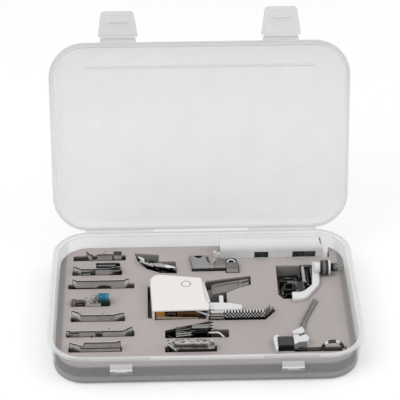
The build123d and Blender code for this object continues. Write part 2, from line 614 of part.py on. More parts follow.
def side_cutter():
    """A side cutter on its side: bracket, clamp screw, frame, guide bar, spring and knives."""
    screw_z = cutter_bracket_level + nut_radius
    screw = rod((74.6, cutter_screw_y, screw_z), (86.4, cutter_screw_y, screw_z), screw_radius)
    knob = rod((85.8, cutter_screw_y, screw_z), (90.2, cutter_screw_y, screw_z), screw_radius + 1.0)
    screw += chamfer(knob.edges().group_by(Axis.X)[-1], 0.5)
    collar = rod((83.6, cutter_screw_y, screw_z), (84.9, cutter_screw_y, screw_z), 4.7)
    collar -= rod((83, cutter_screw_y, screw_z), (86, cutter_screw_y, screw_z), screw_radius)
    nut = Pos(78.9, cutter_screw_y, screw_z) * Rot(0, 90, 0) * thumb_nut()

    base = sheet([(50.0, 36.8), (73.4, 36.6), (73.4, 15.0), (65.4, 7.4), (57.6, 3.2), (52.9, 3.2), (50.0, 7.2)],
                 0.8)
    frame = raised(base, 0, 2.0)
    frame += box(61.4, 66.6, 8.6, 17.4, 1, 11.6) + box(52.4, 60.2, 8.2, 17.2, 1, 8.6)
    frame += box(65.4, 73.0, 35.0, 36.6, 1, 11.0)
    frame += raised(sheet([(50.4, 17.0), (54.6, 17.0), (54.6, 3.6), (53.0, 3.6), (50.4, 7.3)]), 1, 6.0)
    frame += box(72.2, 73.4, 15.4, 36.0, 1, cutter_bracket_level)
    frame = frame - raised(sheet([(53.4, 21.0), (62.6, 21.0), (62.6, 33.6), (53.4, 33.6)], 2.0), -1, 3)

    bar_radius = 1.3
    guide_bar = rod((67.2, 17.4, 10.2), (67.2, 35.0, 10.2), bar_radius)
    guide_bar += rod((67.2, 17.6, 10.2), (67.2, 18.8, 10.2), bar_radius + 0.6)
    coils = 8
    spring_start = 18.9
    spring_end = 34.2
    pitch = (spring_end - spring_start) / coils
    half_section = [(0.9, spring_start)]
    for turn in range(coils):
        start = spring_start + pitch * turn
        half_section += [(1.5, start), (2.0, start + pitch / 2)]
    half_section += [(1.5, spring_end), (0.9, spring_end)]
    spring = revolve(make_face(Polyline(*half_section, close=True)), Axis.Y)
    spring = Pos(69.9, 0, 8.2) * spring
    pusher = rod((69.9, 17.4, 8.2), (69.9, 35.0, 8.2), 0.8)

    knife = box(50.6, 55.8, 17.3, 18.5, 2.2, 12.2) + box(55.6, 61.2, 17.5, 18.3, 2.2, 9.2)
    lower_knife = box(55.0, 61.0, cutter_foot_edge, cutter_foot_edge + 1.2, 2.2, cutter_bracket_level + 0.25)
    pivot = Pos(53.0, 6.4, 7.7) * (Cylinder(1.7, 3.0) - Cylinder(0.8, 4.0))
    square = RectangleRounded(7.0, 7.6, 1.4) - RectangleRounded(4.6, 5.2, 0.8)
    square = Pos(56.6, 12.8, 8.7) * extrude(square, 3.0)
    pieces = {"side_cutter_bracket": cutter_bracket(), "side_cutter_frame": frame,
              "side_cutter_clamp_screw": screw, "side_cutter_collar": collar, "side_cutter_thumb_nut": nut,
              "side_cutter_guide_bar": guide_bar + pusher, "side_cutter_spring": spring,
              "side_cutter_knives": knife + lower_knife + pivot + square}
    return Pos(0, 0, seat_level), pieces


# ---------------------------------------------------------------- free-motion foot
darning_rod_y = -47.0
darning_rod_radius = 1.0
darning_bore_depth = 8.6
darning_block_end = 55.4
darning_ring_x = 79.8
darning_ring_y = -48.6
darning_ring_radius = 7.6
darning_travel = 3.5
darning_lever_pivot = (60.2, -34.6)


def darning_foot():
    """A free-motion foot on its side: block, white clip and cheeks, needle-clamp lever, ring."""
    rise = over_foam
    block = box(45.6, darning_block_end, -49.0, -39.2, 0, 14.2)
    block = fillet(block.edges().group_by(Axis.Z)[-1], 1.6)
    block = fillet(block.edges().filter_by(Axis.Z), 1.0)
    bore_end = darning_block_end - darning_bore_depth
    rod_level = rise - 1.35
    block -= rod((bore_end, darning_rod_y, rod_level), (darning_block_end + 1, darning_rod_y, rod_level),
                 darning_rod_radius + running_clearance)
    clip = raised(sheet([(42.6, -40.4), (44.2, -37.6), (46.4, -37.6), (46.4, -38.9), (45.2, -38.9),
                         (45.2, -49.4), (45.0, -51.6), (43.8, -51.6)], 0.25), rise, rise + 3.0)
    cheek_level = rise + 1.7
    upper = raised(sheet([(55.0, -38.4), (55.0, -36.0), (61.6, -31.6), (63.0, -36.4), (60.6, -38.6)], 0.8),
                   cheek_level, cheek_level + 3.0)
    lower = raised(sheet([(55.4, -49.0), (55.4, -42.4), (63.6, -39.2), (65.4, -42.4), (63.6, -46.0),
                          (58.6, -46.6)], 0.8), rise, cheek_level + 3.0)
    bridge = box(55.4, 59.0, -43.4, -37.4, cheek_level + 0.6, cheek_level + 2.4)
    post = Pos(darning_lever_pivot[0], darning_lever_pivot[1], rise + 0.9) * Cylinder(0.8, 1.8)
    cheeks = upper + lower + bridge + post
    lever = sheet([(58.4, -33.0), (58.4, -36.2), (62.0, -36.2), (63.2, -31.7), (65.4, -21.4), (68.6, -14.0),
                   (74.2, -1.4), (71.8, 0.4), (66.0, -13.0), (62.4, -21.4)], 0.6)
    lever = raised(lever, rise, rise + 1.4)
    rib = strip([(61.4, -26.0), (62.9, -21.4), (66.5, -13.1), (71.6, -1.6)], 0.7, 6.0)
    lever += raised(rib, rise, rise + 2.6)
    lever -= raised(Pos(*darning_lever_pivot) * Circle(0.8 + running_clearance), rise - 1, rise + 3)
    ring_level = rise - 0.35
    ring_width = 2.4
    ring = extrude(Circle(darning_ring_radius) - Circle(darning_ring_radius - 1.7), ring_width)
    ring = chamfer(ring.edges().filter_by(GeomType.CIRCLE), 0.5)
    ring = Pos(darning_ring_x, darning_ring_y + ring_width / 2, ring_level) * Rot(90, 0, 0) * ring
    arm = rod((bore_end + darning_travel + 0.3, darning_rod_y, rod_level), (72.4, darning_rod_y, rod_level),
              darning_rod_radius)
    arm += box(69.6, 73.4, darning_ring_y - 0.6, darning_rod_y + 0.6, rod_level - 0.9, rod_level + 0.9)
    arm += box(59.8, 73.4, darning_ring_y - 0.6, darning_ring_y + 0.6, rod_level - 0.9, rod_level + 1.0)
    return Pos(0, 0, seat_level), {"darning_foot_block": block, "darning_foot_clip": clip,
                                   "darning_foot_cheeks": cheeks, "darning_foot_lever": lever,
                                   "darning_foot_ring": ring + arm}


darning_pockets = [Pos(50.5, -44.1) * RectangleRounded(10.6, 10.6, 0.8),
                   Pos(71.9, -48.0) * RectangleRounded(33.4, 4.4, 0.8)]


# ---------------------------------------------------------------- walking foot
walking_outline = [(-33.9, -16.4), (2.6, -15.9), (3.4, -11.2), (0.8, -5.0), (-1.0, 16.8), (-35.4, 22.0)]
walking_height = 17.8
walking_split = 9.0
walking_wall = 1.4
fork_pivot = (-7.0, 10.4)
fork_level = 2.4
fork_thickness = 4.2
fork_shoulder = 5.6
fork_top = 9.3
ledge_top = 14.0
carrier_level = 10.15
carrier_thickness = 4.05
tooth_pitch = 1.3


def walking_plan(inset):
    """The housing's plan outline, moved in by a distance."""
    outline = make_face(Polyline(*walking_outline, close=True))
    far = outline.vertices().group_by(Axis.Y)
    outline = fillet(far[-1], 6.5)
    outline = fillet(outline.vertices().sort_by_distance((-1.0, 16.8))[0], 2.5)
    return outline if inset == 0 else offset(outline, -inset)


def walking_shells():
    """The moulded housing and its cover, parted on a middle plane and open along the foot's base."""
    outside = walking_plan(0)
    inside = walking_plan(walking_wall)
    mouth = box(-32.3, 1.0, -20, -13, walking_wall, walking_height - walking_wall)
    mouth += box(-1, 6, -20, -9.4, 11.4, walking_height - walking_wall)
    upper = raised(outside, walking_split + 0.1, walking_height)
    upper = fillet(upper.edges().group_by(Axis.Z)[-1], 1.2)
    upper -= raised(inside, walking_split - 1, walking_height - walking_wall)
    upper -= mouth
    badge = Pos(-11.5, 10.0, walking_height) * (Cylinder(3.2, 0.5) - Cylinder(2.7, 1.0))
    upper -= badge
    lower = raised(outside, 0, walking_split - 0.1)
    lower = chamfer(lower.edges().group_by(Axis.Z)[0], 0.6)
    lower -= raised(inside, walking_wall, walking_split + 1)
    lower -= mouth
    ledge = raised(sheet([(-1.6, 16.4), (0.4, 16.9), (2.9, 2.7), (4.0, -4.4), (0.4, -4.6)]), 3.0,
                   walking_split - 0.1)
    ledge -= raised(inside, walking_wall, walking_split + 1)
    ledge += raised(sheet([(-0.6, 16.4), (0.4, 16.9), (2.9, 2.7), (4.0, -4.4), (1.2, -4.6)]),
                    walking_split - 0.2, ledge_top)
    slot_low = fork_level - 0.4
    slot_high = fork_level + fork_thickness + 0.4
    window = box(-4, 5, 1.0, 15.9, slot_low, slot_high) + box(0, 5, 15, 18, slot_low, slot_high)
    lower = lower + ledge - window
    return upper, lower


def fork_arm():
    """The arm that rides on the needle clamp: a hub on the pivot pin and a forked, tapering blade."""
    hub = Pos(*fork_pivot) * Circle(4.0)
    blade = sheet([(-8.5, 14.1), (-8.5, 6.8), (-3.0, 6.2), (7.4, 9.4), (16.8, 12.0), (30.4, 19.2), (30.4, 24.8),
                   (8.0, 19.6), (0.6, 14.6)], 0.8)
    fork_gap = sheet([(25.4, 19.6), (32.0, 22.4), (32.0, 24.2), (25.4, 21.4)], 0)
    arm = raised(hub + blade - fork_gap, fork_level, fork_level + fork_thickness)
    outer = blade - fork_gap - Pos(fork_shoulder - 20, 0) * Rectangle(40, 80)
    arm += raised(outer, fork_level, fork_top)
    recess = offset(outer, -1.2) & Pos(14, 20) * Rectangle(20, 40)
    arm -= raised(recess, fork_top - 1.0, fork_top + 1)
    arm -= Pos(fork_pivot[0], fork_pivot[1], 5) * Cylinder(1.6 + running_clearance, 30)
    return arm


def walking_sole():
    """A long sole turned up at the toe, with a window that the feeding jaw works through."""
    line = [(3.6, -16.6), (38.4, -16.6), (44.6, -9.0)]
    sole = raised(strip(line, sole_thickness, 6.0), 0, 16.0)
    sole -= box(12.4, 39.2, -20, -14, 10.4, 17)
    sole -= raised(sheet([(40.5, -20), (50, -20), (50, -4), (44.0, -4)]), 12.5, 17)
    sole -= box(14.0, 30.0, -20, -14, 3.4, 6.4)
    side = box(3.6, 12.0, -16.0, -12.4, 12.2, 13.4)
    bars = [box(4.4, 11.8, -17.85, -17.0, 9.2 + 1.9 * n, 10.2 + 1.9 * n) for n in range(4)]
    return sole + side + bars


def feeding_jaw():
    """A toothed bar in the sole's window, with the tongue that the jaw carrier guides."""
    bar = box(13.0, 38.6, -16.9, -15.5, 10.9, 15.9)
    count = int(25.0 / tooth_pitch)
    tooth = make_face(Polyline((0, 0), (tooth_pitch * 0.8, 0), (tooth_pitch * 0.4, -0.7), close=True))
    for index in range(count):
        at = Pos(13.3 + tooth_pitch * index, -16.8, 11.2)
        bar += at * extrude(tooth, 4.4)
    tongue = box(15.0, 21.0, -15.6, -7.8, 11.6, 12.8)
    return bar + tongue


def jaw_carrier():
    """The white arm from the housing that carries the sole and guides the feeding jaw."""
    plan = sheet([(3.9, -12.4), (24.6, -12.4), (24.6, -7.6), (16.7, -5.6), (12.6, -5.2), (12.6, 2.2), (9.8, 2.2),
                  (9.8, -4.9), (2.4, -4.9)], 0)
    plan = fillet(plan.vertices().group_by(Axis.X)[-1], 2.0)
    arm = raised(plan, carrier_level, carrier_level + carrier_thickness)
    stand = box(3.9, 9.0, -15.35, -12.3, 8.0, 12.0)
    guide = box(14.7, 21.3, -20, -5.0, 11.3, 13.1)
    return chamfer(arm.edges().group_by(Axis.Z)[-1], 0.5) + stand - guide


def walking_foot():
    """The walking foot on its side: housing, clamp, fork arm, cam, jaw carrier, sole and jaw."""
    upper, lower = walking_shells()
    clamp = box(-31.8, -25.4, -15.4, 8.0, walking_wall, walking_height - walking_wall)
    clamp = soften(clamp, Axis.Y, (Axis.Z, 0), 0.8)
    clamp -= Pos(-28.6, -18, walking_height / 2) * Rot(-90, 0, 0) * extrude(SlotOverall(5.0, 3.6), 10)
    plunger = box(-24.6, -18.8, -14.8, 6.0, 1.6, 14.0)
    plunger -= box(-23.2, -20.2, -16, -10, 3, 12.6)
    cam_plan = sheet([(-18.0, -14.6), (-3.2, -14.6), (-3.2, -11.6), (-8.0, -9.8), (-9.4, -2.0), (-15.8, -2.0),
                      (-18.0, -8.0)], 0.6)
    cam = raised(cam_plan, 7.6, 14.4)
    cam -= box(-14.0, -6.0, -16, -12.4, 9.4, 12.4)
    cam += Pos(-13.0, -6.6, 0) * raised(Circle(2.4), 14.0, walking_height - walking_wall)
    drawbar = sheet([(-31.4, 9.9), (-4.0, 9.6), (-4.0, 10.4), (-31.4, 11.8)])
    cam += Pos(0, -15.5, 0) * extrude(Plane.XZ * drawbar, 0.6)
    cam += box(-10.0, -6.0, -15.7, -14.2, 9.6, 10.2)
    pivot = Pos(fork_pivot[0], fork_pivot[1], walking_wall) * extrude(Circle(1.6),
                                                                      walking_height - 2 * walking_wall)
    link_level = 15.4
    link = rod((-5.6, -15.1, link_level), (3.2, -16.6, 12.4), 0.7)
    link += rod((-1.6, -10.8, link_level), (5.4, -13.6, link_level), 0.7)
    seat = max(seat_level, foam_top + pocket_gap - carrier_level)
    return Pos(0, 0, seat), {"walking_foot_housing": upper, "walking_foot_cover": lower,
                             "walking_foot_clamp": clamp, "walking_foot_plunger": plunger,
                             "walking_foot_cam": cam, "walking_foot_pivot_pin": pivot,
                             "walking_foot_fork_arm": fork_arm(), "walking_foot_link": link,
                             "walking_foot_jaw_carrier": jaw_carrier(),
                             "walking_foot_sole": walking_sole(), "walking_foot_feed_jaw": feeding_jaw()}


walking_arm_pocket = [(2.4, 22.5), (32.0, 27.6), (31.8, 18.0), (24.3, 15.0), (16.5, 10.6), (8.8, 7.4),
                      (5.0, 2.6), (-2.0, 1.2), (-2.0, 16.0)]


def walking_pockets():
    """The foam's room for the walking foot: its housing, its swinging arm and its sole."""
    housing = offset(walking_plan(0), pocket_gap) + Pos(-35.2, 1.6) * RectangleRounded(3.4, 33.0, 1.0)
    ledge = Pos(2.0, 6.1) * Rectangle(4.7, 22.0)
    carrier = Pos(9.8, 1.8) * RectangleRounded(10.8, 17.6, 0.8)
    stand = Pos(6.4, -14.6) * Rectangle(8.0, 5.6)
    front = [(2.4, -18.2), (39.3, -18.2), (46.4, -9.2), (44.9, -7.0), (37.6, -15.2), (2.4, -15.2)]
    return [housing, ledge, carrier, stand, sheet(front, 0.4), sheet(walking_arm_pocket, 0.8)]


# ---------------------------------------------------------------- foam insert
def foam_layers():
    """The die-cut layer with a pocket for each foot, and the sheet that backs it."""
    slots = [zipper_slot, hemmer_slot, plate_slot, guide_slot, sled_slot, overcast_slot, blind_slot,
             binder_slot, satin_slot, buttonhole_slot]
    pockets = [slot.outline() for slot in slots]
    pockets += [sheet(gathering_pocket, 0.6), sheet(low_shank_pocket, 0.6), sheet(cutter_pocket, 0.6)]
    pockets += darning_pockets + walking_pockets()
    corner = corner_radius - rim_reach - wall_lean - wall
    layer = RectangleRounded(2 * foam_half_width, 2 * foam_half_depth, corner - foam_edge_gap)
    for pocket in pockets:
        layer -= pocket
    inset = sheet_edge_gap - foam_edge_gap
    backing = RectangleRounded(2 * (foam_half_width - inset), 2 * (foam_half_depth - inset),
                               corner - sheet_edge_gap)
    return {"foam_die_cut_layer": raised(layer, sheet_top, foam_top),
            "foam_backing_sheet": raised(backing, wall, sheet_top)}


# ---------------------------------------------------------------- assembly
def assembly():
    """Every piece by its name, each where it lies in the open box."""
    pieces = {**case_pieces(), **foam_layers()}
    feet = [zipper_foot, hemmer_foot, plate_foot, edge_guide_foot, sled_foot, overcast_foot, blind_hem_foot,
            binder_foot, satin_foot, gathering_foot, low_shank_foot, buttonhole_foot, side_cutter,
            darning_foot, walking_foot]
    for foot in feet:
        seat, members = foot()
        for name, member in members.items():
            pieces[name] = seat * member
    return pieces


if __name__ == "__main__":
    os.makedirs("parts", exist_ok=True)
    for name, piece in assembly().items():
        export_step(Compound(children=piece.solids()), os.path.join("parts", name + ".step"))
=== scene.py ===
import bpy
from math import cos, pi, radians, sin
from mathutils import Matrix, Vector


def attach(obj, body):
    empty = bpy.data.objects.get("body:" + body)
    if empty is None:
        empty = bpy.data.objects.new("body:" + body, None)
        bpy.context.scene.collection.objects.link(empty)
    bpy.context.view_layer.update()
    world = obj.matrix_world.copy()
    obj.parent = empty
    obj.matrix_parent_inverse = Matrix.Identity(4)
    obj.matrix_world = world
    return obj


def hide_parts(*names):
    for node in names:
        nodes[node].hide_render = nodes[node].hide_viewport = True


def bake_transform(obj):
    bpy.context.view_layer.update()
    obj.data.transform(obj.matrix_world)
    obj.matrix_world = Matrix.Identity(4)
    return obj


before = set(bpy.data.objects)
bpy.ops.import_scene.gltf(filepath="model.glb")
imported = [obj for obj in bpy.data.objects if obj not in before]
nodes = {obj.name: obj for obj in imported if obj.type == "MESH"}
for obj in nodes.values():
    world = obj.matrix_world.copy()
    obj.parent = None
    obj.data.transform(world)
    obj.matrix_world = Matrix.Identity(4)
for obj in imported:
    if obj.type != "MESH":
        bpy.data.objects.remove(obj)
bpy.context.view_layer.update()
bpy.ops.object.select_all(action="DESELECT")

# ---------------------------------------------------------------- camera
# A long lens a little above a metre away, looking down at the open box from just left of its
# middle, as someone sees it who stands at the table.
camera_lens = 148.49
camera_sensor = 36
camera_place = Matrix.Translation((-0.0289, -0.83374, 0.70089))
camera_turn = Matrix.Rotation(radians(-1.796), 4, "Z")
camera_tip = Matrix.Rotation(radians(90 - 35.936), 4, "X")
camera_roll = Matrix.Rotation(radians(0.107), 4, "Z")
camera = bpy.data.objects.new("camera", bpy.data.cameras.new("camera"))
camera.data.lens = camera_lens
camera.data.sensor_width = camera_sensor
camera.matrix_world = camera_place @ camera_turn @ camera_tip @ camera_roll
bpy.context.scene.collection.objects.link(camera)
bpy.context.scene.camera = camera
bpy.context.scene.view_settings.view_transform = "Standard"


# ---------------------------------------------------------------- white table and light
# The box stands on a white paper sweep under two large soft boxes, so its shadow is short and
# faint, and bright metal mirrors white all round.
class Signal:
    """A socket in a material: sums on it add Math nodes, and node() adds any other kind."""

    def __init__(self, tree, socket=None):
        self.tree = tree
        self.socket = socket

    def node(self, kind, settings=None, sockets=None, out=0):
        made = self.tree.nodes.new("ShaderNode" + kind)
        for name, value in (settings or {}).items():
            setattr(made, name, value)
        for key, value in (sockets or {}).items():
            if isinstance(value, Signal):
                self.tree.links.new(value.socket, made.inputs[key])
            else:
                made.inputs[key].default_value = value
        return Signal(self.tree, made.outputs[out] if len(made.outputs) else None)

    def maths(self, operation, *values):
        return self.node("Math", {"operation": operation}, dict(enumerate(values)))

    def __add__(self, other):
        return self.maths("ADD", self, other)

    def __sub__(self, other):
        return self.maths("SUBTRACT", self, other)

    def __rsub__(self, other):
        return self.maths("SUBTRACT", other, self)

    def __mul__(self, other):
        return self.maths("MULTIPLY", self, other)

    __radd__ = __add__
    __rmul__ = __mul__

    def clipped(self):
        return self.node("Clamp", None, {0: self})

    def step(self, low, high):
        """0 below one value and 1 above another, smooth between."""
        return self.node("MapRange", {"interpolation_type": "SMOOTHSTEP"}, {0: self, 1: low, 2: high})

    def between(self, low, high, blur=0.0002):
        """1 from one value to another, 0 outside, with soft ends."""
        return self.step(low - blur, low + blur) * (1 - self.step(high - blur, high + blur))

    def tint(self, low, high):
        """A colour between two, by this value from 0 to 1."""
        low = low if isinstance(low, Signal) else (*low, 1)
        high = high if isinstance(high, Signal) else (*high, 1)
        return self.node("Mix", {"data_type": "RGBA"}, {0: self, 6: low, 7: high}, 2)

    def noise(self, scale, detail=2.0, stretch=(1, 1, 1)):
        """Cloudy noise, about 0 to 1, that sits still on the piece."""
        place = self.node("TexCoord", out="Object")
        place = self.node("Mapping", None, {"Vector": place, "Scale": stretch})
        return self.node("TexNoise", None, {"Vector": place, "Scale": scale, "Detail": detail})

    def part(self, axis, kind="Object"):
        """One axis of the place on the piece, in metres, or of the way that its face looks."""
        place = self.node("TexCoord", out=kind)
        return self.node("SeparateXYZ", None, {0: place}, axis)

    def size(self, axis, kind="Object"):
        """The same, without its sign."""
        return self.maths("ABSOLUTE", self.part(axis, kind))

    def distance(self, across, up):
        """How far a place is from a centre, from its two offsets."""
        return self.maths("SQRT", across * across + up * up)

    def eased(self, radius):
        """The way that faces look when their edges are rounded by a radius."""
        return self.node("Bevel", {"samples": 6}, {"Radius": radius})

    def edge(self, radius, low=0.03, high=0.14):
        """1 along edges and in corners, 0 out on the open faces."""
        plain = self.node("NewGeometry", out="Normal")
        aligned = self.node("VectorMath", {"operation": "DOT_PRODUCT"}, {0: self.eased(radius), 1: plain}, 1)
        return (1 - aligned).step(low, high)

    def bump(self, height, distance, strength=0.5, easing=0.0):
        """A bumpy normal, over edges that look rounded by a radius."""
        sockets = {"Height": height, "Distance": distance, "Strength": strength}
        if easing:
            sockets["Normal"] = self.eased(easing)
        return self.node("Bump", None, sockets)

    def surface(self, sockets):
        """The Principled surface and the material's output."""
        shader = self.node("BsdfPrincipled", None, sockets)
        self.node("OutputMaterial", None, {"Surface": shader})

    def grained(self, colour, grain, rough, metallic=0.0, depth=0.00005, spread=0.2):
        """A surface whose fine grain both roughens and dents it, with its edges just broken."""
        self.surface({"Base Color": colour, "Metallic": metallic, "Roughness": rough + spread * grain,
                      "Normal": self.bump(grain, depth, easing=0.0002)})


def new_material(name):
    """An empty material, and the signal that its nodes start from."""
    material = bpy.data.materials.new(name)
    material.use_nodes = True
    material.node_tree.nodes.clear()
    return material, Signal(material.node_tree)


def grey(tone):
    """A colour with no hue."""
    return tone, tone, tone


def shown_rays(start):
    """1 for the camera's rays, and for those that metal and clear plastic send on."""
    rays = [start.node("LightPath", out=name)
            for name in ("Is Camera Ray", "Is Glossy Ray", "Is Transmission Ray")]
    return (rays[0] + rays[1] + rays[2]).clipped()


table_size = 6
table_drop = 0.00005
paper_tone = 0.8
paper_lift = 0.245
air_tone = 0.66
bpy.ops.mesh.primitive_plane_add(size=table_size, location=(0, 0, -table_drop))
table = bpy.context.object
table.name = "table"
table_white, start = new_material("table_white")
lift = start.node("Emission", None, {"Color": shown_rays(start).tint(grey(0), grey(paper_lift))})
paper = start.node("BsdfDiffuse", None, {"Color": (*grey(paper_tone), 1)})
start.node("OutputMaterial", None, {"Surface": start.node("AddShader", None, {0: paper, 1: lift})})
table.data.materials.append(table_white)

world = bpy.data.worlds.new("studio")
world.use_nodes = True
world.node_tree.nodes.clear()
bpy.context.scene.world = world
air = Signal(world.node_tree)
sky = shown_rays(air).tint(grey(air_tone), grey(1))
air.node("OutputWorld", None, {"Surface": air.node("Background", None, {"Color": sky})})


def lamp(name, place, size, power):
    """A square soft box that faces the middle of the object."""
    light = bpy.data.objects.new(name, bpy.data.lights.new(name, "AREA"))
    light.data.size = size
    light.data.energy = power
    light.location = place
    light.rotation_euler = (-Vector(place)).to_track_quat("-Z", "Y").to_euler()
    bpy.context.scene.collection.objects.link(light)


lamp("soft_box_left", (-0.9, -0.5, 1.3), 0.9, 8.3)
lamp("soft_box_right", (1.0, -0.2, 1.1), 0.7, 4.1)


# ---------------------------------------------------------------- case
# A thin injection-moulded case of milky polypropylene. The walls are a millimetre thick, so the
# case is nearly clear, and only its doubled rim and its catches gather any white; the floor's rounded
# edge is painted whiter, as a reflection of the white table.
hinge_y = 0.06585
hinge_z = 0.023375
lid_open = radians(107.5)
base_rim_z = 0.0233
front_wall_y = -0.0640
back_wall = (0.0570, 0.0656)
catch_sides = (0.0466, 0.0606)
catch_levels = (0.0139, 0.0182)
ledge_levels = (0.0138, 0.0149)
lip_sides = (0.0500, 0.0572)
lip_levels = (0.0127, 0.0139)
floor_reflection_levels = (0.0025, 0.0065)
front_rim_levels = (0.0195, 0.031)
middle_highlight_half_width = 0.0352
right_highlight = (0.0700, 0.0935)
latch_foot_z = 0.1528
panel_half_width = 0.0765
fold_shade_levels = (0.1285, 0.1293)
far_levels = (0.085, 0.150)
far_edge_levels = (0.1508, 0.1520)


def shaded(colour, share):
    """A colour at a share of its brightness."""
    return tuple(share * tone for tone in colour)


def milky_plastic(name, depth_below_rim, wall_colour, wall_alpha):
    """Frosted polypropylene that is whiter at the rim and on the catches."""
    material, start = new_material(name)
    along = start.part("X")
    across = start.size("X")
    inward = start.part("Y")
    height = start.part("Z")
    cloud = start.noise(60.0, 3.0)
    grain = start.noise(2600.0, 1.0)

    # Each catch is a block with a ledge at its foot and a short lip below. The ledge carries a painted
    # highlight, as more opaque white.
    front = 1 - inward.step(front_wall_y, front_wall_y + 0.0004)
    block = across.between(*catch_sides) * height.between(*catch_levels)
    ledge_highlight = across.between(*catch_sides) * height.between(*ledge_levels) * front
    lip = across.between(*lip_sides) * height.between(*lip_levels)
    on_catch = (block + 0.8 * lip) * front

    # The rim is doubled and the latches are single. The floor's rounded edge is painted whiter, as a
    # reflection of the white table.
    on_latch = height.step(latch_foot_z, latch_foot_z + 0.0006)
    rim = (1 - depth_below_rim(start).step(0.0012, 0.0024)) * (1 - 0.8 * on_latch)
    white = (rim + on_catch + 0.35 * height.between(*floor_reflection_levels, 0.0015)).clipped()

    # The front rim is painted greyer, as in shade, apart from two stretches with painted highlights.
    front_rim_shade = 1 - inward.step(front_wall_y, front_wall_y + 0.0015)
    front_rim_shade = front_rim_shade * height.between(*front_rim_levels, 0.0010)
    rim_highlights = across.between(0.0, middle_highlight_half_width, 0.0004) + along.between(*right_highlight, 0.0004)
    # The lid is painted darker towards its far edge, as shade, on its walls and on its rim.
    far_shade = height.step(*far_levels) * (1 - height.step(*far_edge_levels))
    rim_colour = (0.62 * front_rim_shade * (1 - rim_highlights)).tint(grey(0.82), (0.50, 0.505, 0.50))
    rim_colour = far_shade.tint(rim_colour, grey(0.66))

    # The heel is painted dark as a contact shadow on the table, the back wall is the clearest, and the
    # fold of the lid's panel is painted as a dark line of shade.
    contact_shadow = 1 - height.step(0.0004, 0.0016)
    back = inward.between(*back_wall, 0.0010) * (1 - height.step(0.022, 0.024))
    fold = 1 - across.step(panel_half_width, panel_half_width + 0.001)
    fold = height.between(*fold_shade_levels) * fold
    wall = far_shade.tint(wall_colour, shaded(wall_colour, 0.8))
    colour = contact_shadow.tint(white.tint(wall, rim_colour), grey(0.10))
    alpha = (wall_alpha + 0.05 * cloud) * (1 - 0.45 * back) + 0.34 * white + 0.4 * contact_shadow
    start.surface({"Base Color": (0.7 * fold).tint(colour, grey(0.25)),
                   "Alpha": alpha + 0.08 * fold + 0.07 * on_latch + 0.35 * ledge_highlight,
                   "Roughness": 0.24 + 0.12 * cloud,
                   "Normal": start.bump(grain, 0.00004, 0.35)})
    return material


def base_depth(start):
    """Depth below the top of the base's rim."""
    return base_rim_z - start.part("Z")


def lid_depth(start):
    """Height above the lid's rim, square to it, with the lid open as it is at rest."""
    return (start.part("Y") - hinge_y) * sin(lid_open) + (start.part("Z") - hinge_z) * cos(lid_open)


def give(material, *names):
    """Puts a material on CAD pieces."""
    for name in names:
        nodes[name].material_slots[0].material = material


lid_plastic = milky_plastic("milky_lid", lid_depth, (0.535, 0.54, 0.54), 0.2)
give(milky_plastic("milky_base", base_depth, (0.475, 0.475, 0.48), 0.22), "base_tray")
give(lid_plastic, "lid_shell", "latch_left", "latch_right")


# ---------------------------------------------------------------- film hinges
# Webs about 0.3 mm thick, moulded in one with the case, that carry the lid on the base and each
# latch on the lid. They are what flexes, and each is drawn bent over its fold line, from one
# neighbour into the next.
film_thickness = 0.0003
rim_z = 0.02345
lid_film_x = 0.0553
lid_film_length = 0.047
latch_x = 0.0536
latch_film_y = -0.06855
latch_film_length = 0.0225
left_latch_fold = radians(18.0)


def opened(x, y, z):
    """A point of the closed lid, where it is with the lid open at rest."""
    turned = Matrix.Rotation(-lid_open, 3, "X") @ Vector((0, y - hinge_y, z - hinge_z))
    return Vector((x, hinge_y + turned.y, hinge_z + turned.z))


def film(name, length, route, stands_for):
    """A web drawn out from one piece, over the fold line, to the next."""
    # The section stays upright all the way, so a web that runs upwards, as at the latches, is thinner.
    bpy.ops.mesh.primitive_plane_add(size=1, location=route[0], rotation=(pi / 2, 0, 0))
    web = bpy.context.object
    web.name = name
    web.scale = (length, film_thickness, 1)
    bpy.ops.object.transform_apply(location=True, rotation=True, scale=True)
    bpy.ops.object.mode_set(mode="EDIT")
    for start, end in zip(route, route[1:]):
        bpy.ops.mesh.extrude_region_move(TRANSFORM_OT_translate={"value": end - start})
    bpy.ops.mesh.select_all(action="SELECT")
    bpy.ops.mesh.normals_make_consistent(inside=False)
    bpy.ops.object.mode_set(mode="OBJECT")
    web.data.materials.append(lid_plastic)
    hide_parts(stands_for)
    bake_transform(web)
    web.select_set(False)


# Each route runs from inside one piece's edge, over the fold line, into the next piece.
for side, place in (("left", -lid_film_x), ("right", lid_film_x)):
    route = [Vector((place, 0.0652, 0.0231)), Vector((place, hinge_y, hinge_z)),
             opened(place, 0.06535, rim_z), opened(place, 0.0648, rim_z + 0.0003)]
    film("film_hinge_" + side, lid_film_length, route, "hinge_film_" + side)
for side, place, fold in (("left", -latch_x, left_latch_fold), ("right", latch_x, 0.0)):
    route = [opened(place, latch_film_y + 0.0009, rim_z + 0.0002),
             opened(place, latch_film_y + 0.0004, rim_z + 0.0001),
             opened(place, latch_film_y, rim_z),
             opened(place, latch_film_y - 0.0008 * cos(fold), rim_z - 0.0008 * sin(fold))]
    film("film_latch_" + side, latch_film_length, route, "latch_film_" + side)


